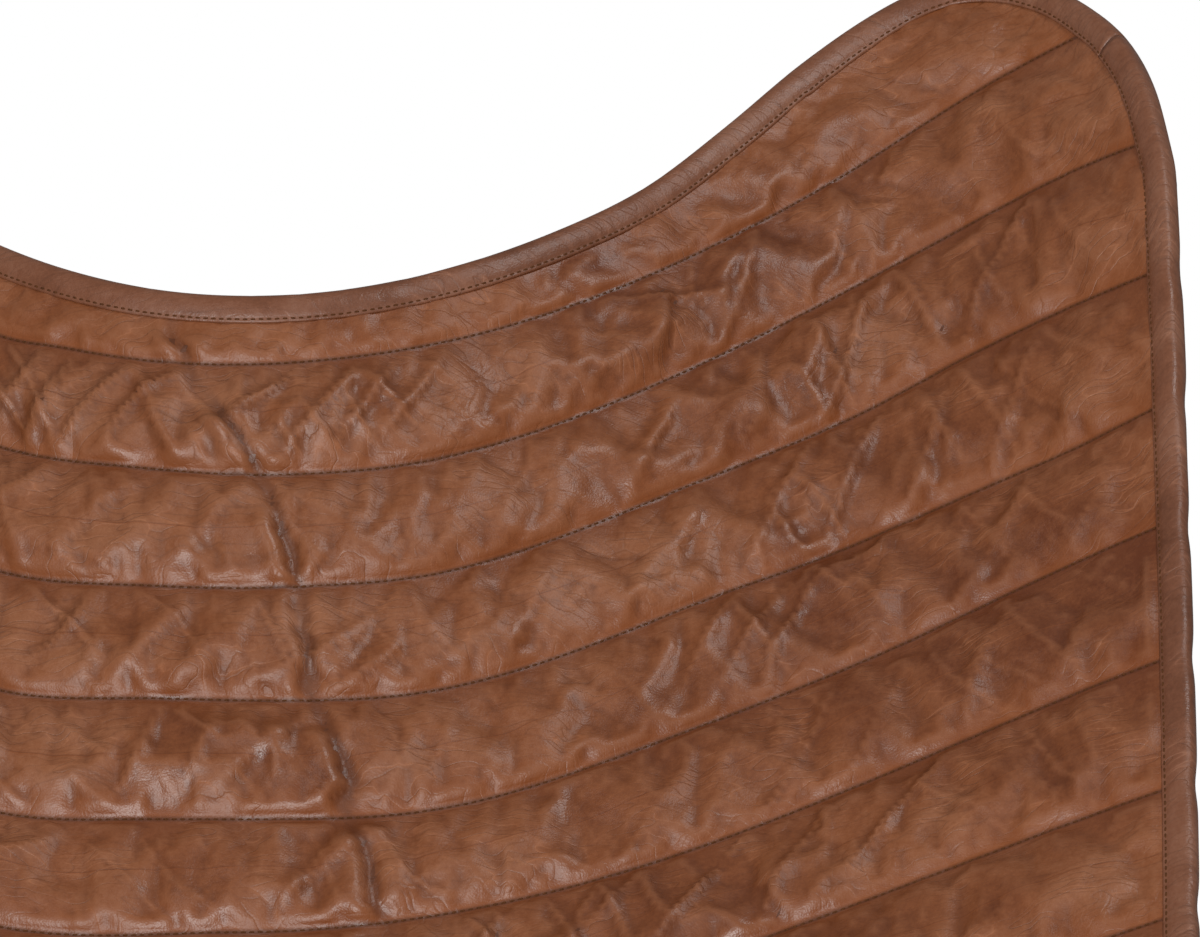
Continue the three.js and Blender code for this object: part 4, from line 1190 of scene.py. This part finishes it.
def hem_piece(name, upper, lower, normal):
    """The strip folded over a pocket's mouth, and the line that is stitched on it."""
    inside = slice(HEM_SKIP, -HEM_SKIP)
    o = unit(upper[:, -1] - upper[:, -3])[inside]
    up, top, low = normal[inside, -1], upper[inside, -1], lower[inside, -1]
    outer = [(a, HEM_GAP + HEM_THICKNESS * share + b) for a, share, b in HEM_PROFILE]
    ring = [top + o * a + up * b for a, b in outer]
    ring += [(top + low) / 2 + o * (HEM_GAP + HEM_THICKNESS + 0.5)]
    ring += [low + o * a - up * b for a, b in outer[::-1]]
    ring += [low - o * HEM_WIDTH - up * HEM_GAP, low + (o - up) * HEM_GAP,
             top + (o + up) * HEM_GAP, top - o * HEM_WIDTH + up * HEM_GAP]
    hem = strip_piece(f"pocket_edge_{name}", np.stack(ring, 1), trim_leather,
                      f"pocket_hem_{name}")
    line = top - o * (HEM_WIDTH * 0.78) + up * (HEM_GAP + HEM_THICKNESS + 0.2)
    return hem, (line, up)


def pocket_pieces(name, side, first, back):
    fine = upsample(pocket_grid(side, first, back), POCKET_GRID)
    normal = unit(np.cross(np.gradient(fine, axis=0), np.gradient(fine, axis=1)))
    sample = sling_frame(side * 0.85, 2.0 if back else 15.5)[1]
    if np.mean(normal @ sample) < 0:
        normal = -normal
    along = np.linspace(0, 1, POCKET_GRID[0])[:, None]
    down = np.linspace(0, 1, POCKET_GRID[1])[None]
    sag = POCKET_SAG * np.sin(np.pi * down) * (0.6 + 0.4 * np.sin(np.pi * along))
    ripple = ridges(along * 9 + 0.8 * down, down * 2.2, 61, 1.6) - 0.4
    away = sag + POCKET_RIPPLE * ripple * smoothstep(down * 3)
    away = away * smoothstep(down * 4) * smoothstep((1 - down) * 3)
    upper = fine - normal * away[..., None]
    lower = upper - normal * POCKET_THICKNESS
    index = np.arange(away.size).reshape(away.shape)
    faces = grid_faces(index) + grid_faces(index + index.size, flip=True)
    loop = border_loop(index)
    faces += [[w, v, v + index.size, w + index.size] for v, w in zip(loop, loop[1:] + loop[:1])]
    obj = face_outward(make_mesh(f"pocket_panel_{name}", np.concatenate([upper, lower]), faces))
    finish_piece(obj, lining_leather, f"pocket_{name}")
    return obj, *hem_piece(name, upper, lower, normal)


pocket_objects = {name: pocket_pieces(name, *place) for name, place in pockets.items()}


# The binding round the rim

def pocket_weight():
    """1 where the binding also covers a pocket, 0 elsewhere, smooth between."""
    weight = np.zeros(len(rim))
    for _, first, back in pockets.values():
        past = first + len(BACK_MOUTH if back else FRONT_MOUTH)
        a, b = (int(np.argmin(np.linalg.norm(rim_edge - cad_rim_points[k % len(cad_rim)], axis=1)))
                for k in (first - 1, past))
        place = np.arange(len(rim))
        covered = (place >= a) & (place <= b) if a <= b else (place >= a) | (place <= b)
        weight[covered] = 1
    return blur_round(weight, 4.0)


def rim_offset(u, v):
    """Points u mm inward of the rim and v mm off the middle surface."""
    u, v = (np.broadcast_to(x, len(rim))[:, None] for x in (u, v))
    f = np.minimum(u / BINDING_WIDTH, 1)
    normal = unit(rim_normal + (inner_normal - rim_normal) * np.maximum(f, 0))
    return rim_edge + (inner_point - rim_edge) * f + normal * v


# The binding's rounded section: how far inward of the rim, and a lift
BINDING_PROFILE = [(12.0, -1.3), (11.3, -0.75), (10.4, -0.95), (9.4, -0.45), (7.5, 0.0),
                   (5.0, 0.15), (2.6, 0.05), (0.8, -0.35), (-0.7, -1.2), (-1.7, -2.5)]
TOP_STITCH_RING, LOW_STITCH_RING = 2, 18
SIDE_ROW_PITCH = 66.0


def binding_rings():
    s = np.arange(len(rim)) * RIM_STEP
    share, row = rim.T
    # stitched lines pull the edge in a little where they end on the sides
    nearest = np.abs(row - np.round(row)) * SIDE_ROW_PITCH
    pull = np.where((np.abs(share) > 0.995) & (row > 2.3), np.exp(-(nearest / 9.0) ** 2), 0)
    tuck = ridges(s / 21.0, 0, 101, 9.0) * smoothstep((value_noise(s / 130.0, 0, 103) - 0.42) / 0.2)
    wave = value_noise(s / 34.0, 0, 105) - 0.5
    back = LINING_BOTTOM + (POCKET_TOP - POCKET_THICKNESS - LINING_BOTTOM) * pocket_weight()
    crest = FACE_TOP + BINDING_GAP + BINDING_THICKNESS
    base = back - BINDING_GAP - BINDING_THICKNESS
    section = [(u + pull * (u < 3),
                crest + lift - 0.5 * tuck * np.exp(-((u - 3.0) / 7.0) ** 2) + 0.35 * wave)
               for u, lift in BINDING_PROFILE]
    section += [(pull - BINDING_BULGE, (crest + base) / 2)]
    section += [(u + pull * (u < 3), base - lift - 0.25 * wave)
                for u, lift in BINDING_PROFILE[::-1]]
    section += [(BINDING_WIDTH, back - 0.35), (0.6 * pull - 0.7, back - 0.55),
                (0.6 * pull - 0.9, (back + FACE_TOP) / 2), (0.6 * pull - 0.7, FACE_TOP + 0.4),
                (BINDING_WIDTH, FACE_TOP + 0.3)]
    return np.stack([rim_offset(u, v) for u, v in section], axis=1)


def rim_index(share, back):
    candidates = np.nonzero((rim[:, 1] < 5) if back else (rim[:, 1] > 12))[0]
    return int(candidates[np.argmin(np.abs(rim[candidates, 0] - share))])


all_rings = binding_rings()
joins = [rim_index(-BINDING_JOIN_SHARE, True), rim_index(BINDING_JOIN_SHARE, True),
         rim_index(BINDING_JOIN_SHARE, False), rim_index(-BINDING_JOIN_SHARE, False)]
for side, start, end in zip(("back", "right", "front", "left"), joins, joins[1:] + joins[:1]):
    if end < start:
        end += len(rim)
    picked = np.arange(start, end + 1) % len(rim)
    rings = all_rings[picked]
    rings[0] += rim_tangent[picked[0]] * BINDING_JOIN_GAP
    rings[-1] -= rim_tangent[picked[-1]] * BINDING_JOIN_GAP
    strip_piece(f"edge_binding_{side}", rings, trim_leather,
                                 f"binding_{side}")


# Stitches

STITCH_PITCH = 3.45
STITCH_LENGTH = 2.55
STITCH_RADIUS = 0.46
STITCH_DIP = 0.5
STITCH_LIFT = 0.18
LINE_POINTS = 801
LINE_END_GAP = 0.16
SEAM_STITCH_INSET = 2.2


def stitches(name, lines, sides=6):
    """Short rounded stitches along lines of points; each line is (points, normals)."""
    ends = np.array([-1, -0.62, 0, 0.62, 1])[None, :, None, None]
    fat = np.array([0.35, 0.9, 1, 0.9, 0.35])[None, :, None, None]
    angles = np.linspace(0, 2 * np.pi, sides, endpoint=False)[None, None, :, None]
    rng = np.random.default_rng(len(name) * 7 + 3)
    blocks = []
    for points, normals in lines:
        lengths = lengths_along(points)
        count = int(lengths[-1] / STITCH_PITCH)
        if count < 2:
            continue
        at = (np.arange(count) + 0.5) * STITCH_PITCH
        centre, ahead, behind = (at_lengths(at + step, lengths, points) for step in (0, 0.8, -0.8))
        normal = unit(at_lengths(at, lengths, normals))
        way = unit(ahead - behind)
        way = unit(way + unit(np.cross(normal, way)) * rng.normal(0, 0.05, (count, 1)))
        across = unit(np.cross(normal, way))
        size = STITCH_LENGTH / 2 * rng.uniform(0.92, 1.06, (count, 1, 1, 1))
        centre, normal, way, across = (v[:, None, None] for v in (centre, normal, way, across))
        spine = centre + way * ends * size + normal * (STITCH_LIFT - STITCH_DIP * ends ** 4)
        ring = across * np.cos(angles) + normal * np.sin(angles) * 0.8
        blocks.append((spine + ring * STITCH_RADIUS * fat).reshape(-1, 3))
    points = np.concatenate(blocks)
    per_stitch = ends.size * sides
    faces = [[v + start for v in face] for start in range(0, len(points), per_stitch)
             for face in ring_faces(ends.size, sides)]
    return finish_piece(make_mesh(name, points, faces), thread)


def seam_lines(back, under):
    """The stitched lines of a panel, on its face or on its lining."""
    shares, fine = np.linspace(-1, 1, FACE_GRID[1] + 1), np.linspace(-1, 1, LINE_POINTS)
    offset, sign = (LINING_BOTTOM - 0.02, -1) if under else (FACE_TOP, 1)
    lines = []
    for number in range(1, HIDE_SEAM_ROW) if back else range(HIDE_SEAM_ROW, LAST_ROW + 1):
        edge = edge_row(shares, back)
        here = (edge + LINE_END_GAP < number) if back else (edge - LINE_END_GAP > number)
        row = fine * 0 + number
        row = row + wander(fine, row)
        if number == HIDE_SEAM_ROW:
            row = row + SEAM_STITCH_INSET / ROW_PITCH
        point, normal, _, _ = sling_frame(fine, row)
        keep = ((rim_distance(point) > BINDING_WIDTH - 1)
                & (np.interp(fine, shares, here.astype(float)) > 0.5))
        for part in np.split(np.arange(len(fine)), np.nonzero(np.diff(keep.astype(int)))[0] + 1):
            if len(part) > 8 and keep[part[0]]:
                lines.append((point[part] + normal[part] * offset, normal[part] * sign))
    return lines


quilt_back, quilt_seat, quilt_back_under, quilt_seat_under = (
    stitches(f"quilting_{panel}" + "_reverse" * under, seam_lines(panel == "back", under))
    for under in (False, True) for panel in ("back", "seat"))

closed = np.append(np.arange(len(rim)), 0)
rim_stitches = stitches("binding_stitches", [
    (all_rings[closed, TOP_STITCH_RING], inner_normal[closed]),
    (all_rings[closed, LOW_STITCH_RING], -inner_normal[closed]),
])
stitches("pocket_stitches", [line for _, _, line in pocket_objects.values()])


# The floor fades out before its edge, so that no horizon shows

FLOOR_RADIUS = 3000.0
FLOOR_SIDES = 96
FLOOR_FADE = (1.1, 2.9)
WORLD_STRENGTH = 0.21
turns = np.linspace(0, 2 * np.pi, FLOOR_SIDES, endpoint=False)
floor_rim = np.stack([np.cos(turns), np.sin(turns), 0 * turns], -1) * FLOOR_RADIUS
floor = make_mesh("studio_floor", floor_rim, [list(range(len(turns)))])
g = Graph("pale_floor")
colour = g.ramp(g.noise(9.0, 4.0), (0.3, (0.87, 0.87, 0.865)), (0.7, (0.9, 0.9, 0.895)))
g.put(g.shader, "Base Color", colour)
g.put(g.shader, "Roughness", 0.85)
from_middle = g.add("VectorMath", {0: g.place}, operation="LENGTH").outputs["Value"]
joined = g.add("MixShader", {0: g.span(from_middle, *FLOOR_FADE), 1: g.shader.outputs[0],
                             2: g.add("BsdfTransparent").outputs[0]})
g.put(g.tree.nodes["Material Output"], "Surface", joined.outputs[0])
floor.data.materials.append(g.material)

# A white background that lights the object only softly
world = bpy.data.worlds.new("studio")
bpy.context.scene.world = world
world.use_nodes = True
tree = world.node_tree
tree.nodes.clear()
out, soft, white, ray, first, mixed = (tree.nodes.new("ShaderNode" + kind) for kind in (
    "OutputWorld", "Background", "Background", "LightPath", "Math", "MixShader"))
first.operation = "MAXIMUM"
for node, strength in ((soft, WORLD_STRENGTH), (white, 1.0)):
    node.inputs["Color"].default_value = (1, 1, 1, 1)
    node.inputs["Strength"].default_value = strength
for source, target in (
    (ray.outputs["Is Camera Ray"], first.inputs[0]),
    (ray.outputs["Is Transmission Ray"], first.inputs[1]),
    (first.outputs[0], mixed.inputs[0]), (soft.outputs[0], mixed.inputs[1]),
    (white.outputs[0], mixed.inputs[2]), (mixed.outputs[0], out.inputs["Surface"]),
):
    tree.links.new(source, target)


def place_object(name, data, place, way):
    obj = bpy.data.objects.new(name, data)
    bpy.context.scene.collection.objects.link(obj)
    obj.location = place
    obj.rotation_euler = Vector(way).to_track_quat("-Z", "Y").to_euler()
    return obj


# Lights: place and target in metres, size in metres, power in watts
LIGHTS = {
    "key_softbox": ((-0.3, -2.75, 0.85), (0.1, 0.2, 0.65), (0.7, 0.7), 57),
    "high_right_softbox": ((1.0, -0.45, 2.36), (0.2, 0.2, 0.75), (0.4, 0.3), 10),
    "high_left_softbox": ((-0.7, -1.3, 2.2), (0.0, 0.2, 0.65), (0.7, 0.5), 3),
    "back_fill": ((0.3, 2.6, 1.6), (0, 0, 0.5), (1.8, 1.4), 18),
}
for name, (place, target, size, watts) in LIGHTS.items():
    data = bpy.data.lights.new(name, "AREA")
    data.shape = "RECTANGLE"
    data.size, data.size_y = size
    data.energy = watts
    light = place_object(name, data, place, unit(np.array(target, float) - np.array(place)))
    # the back light draws no bright line along the rim against the white
    light.visible_glossy = name != "back_fill"

AIM = np.array([151.0, 330.0 + PART_SHIFT, 680.0]) * MM
CAMERA_DISTANCE = 2.6
azimuth, elevation = math.radians(4.0), math.radians(3.5)
forward = np.array([-math.sin(azimuth) * math.cos(elevation),
                    math.cos(azimuth) * math.cos(elevation), -math.sin(elevation)])
camera_data = bpy.data.cameras.new("view")
camera_data.lens = 180
camera_data.sensor_width = 36
camera_data.clip_end = 50
bpy.context.scene.camera = place_object("view", camera_data, AIM - forward * CAMERA_DISTANCE,
                                        forward)
bpy.context.scene.view_settings.view_transform = "Standard"
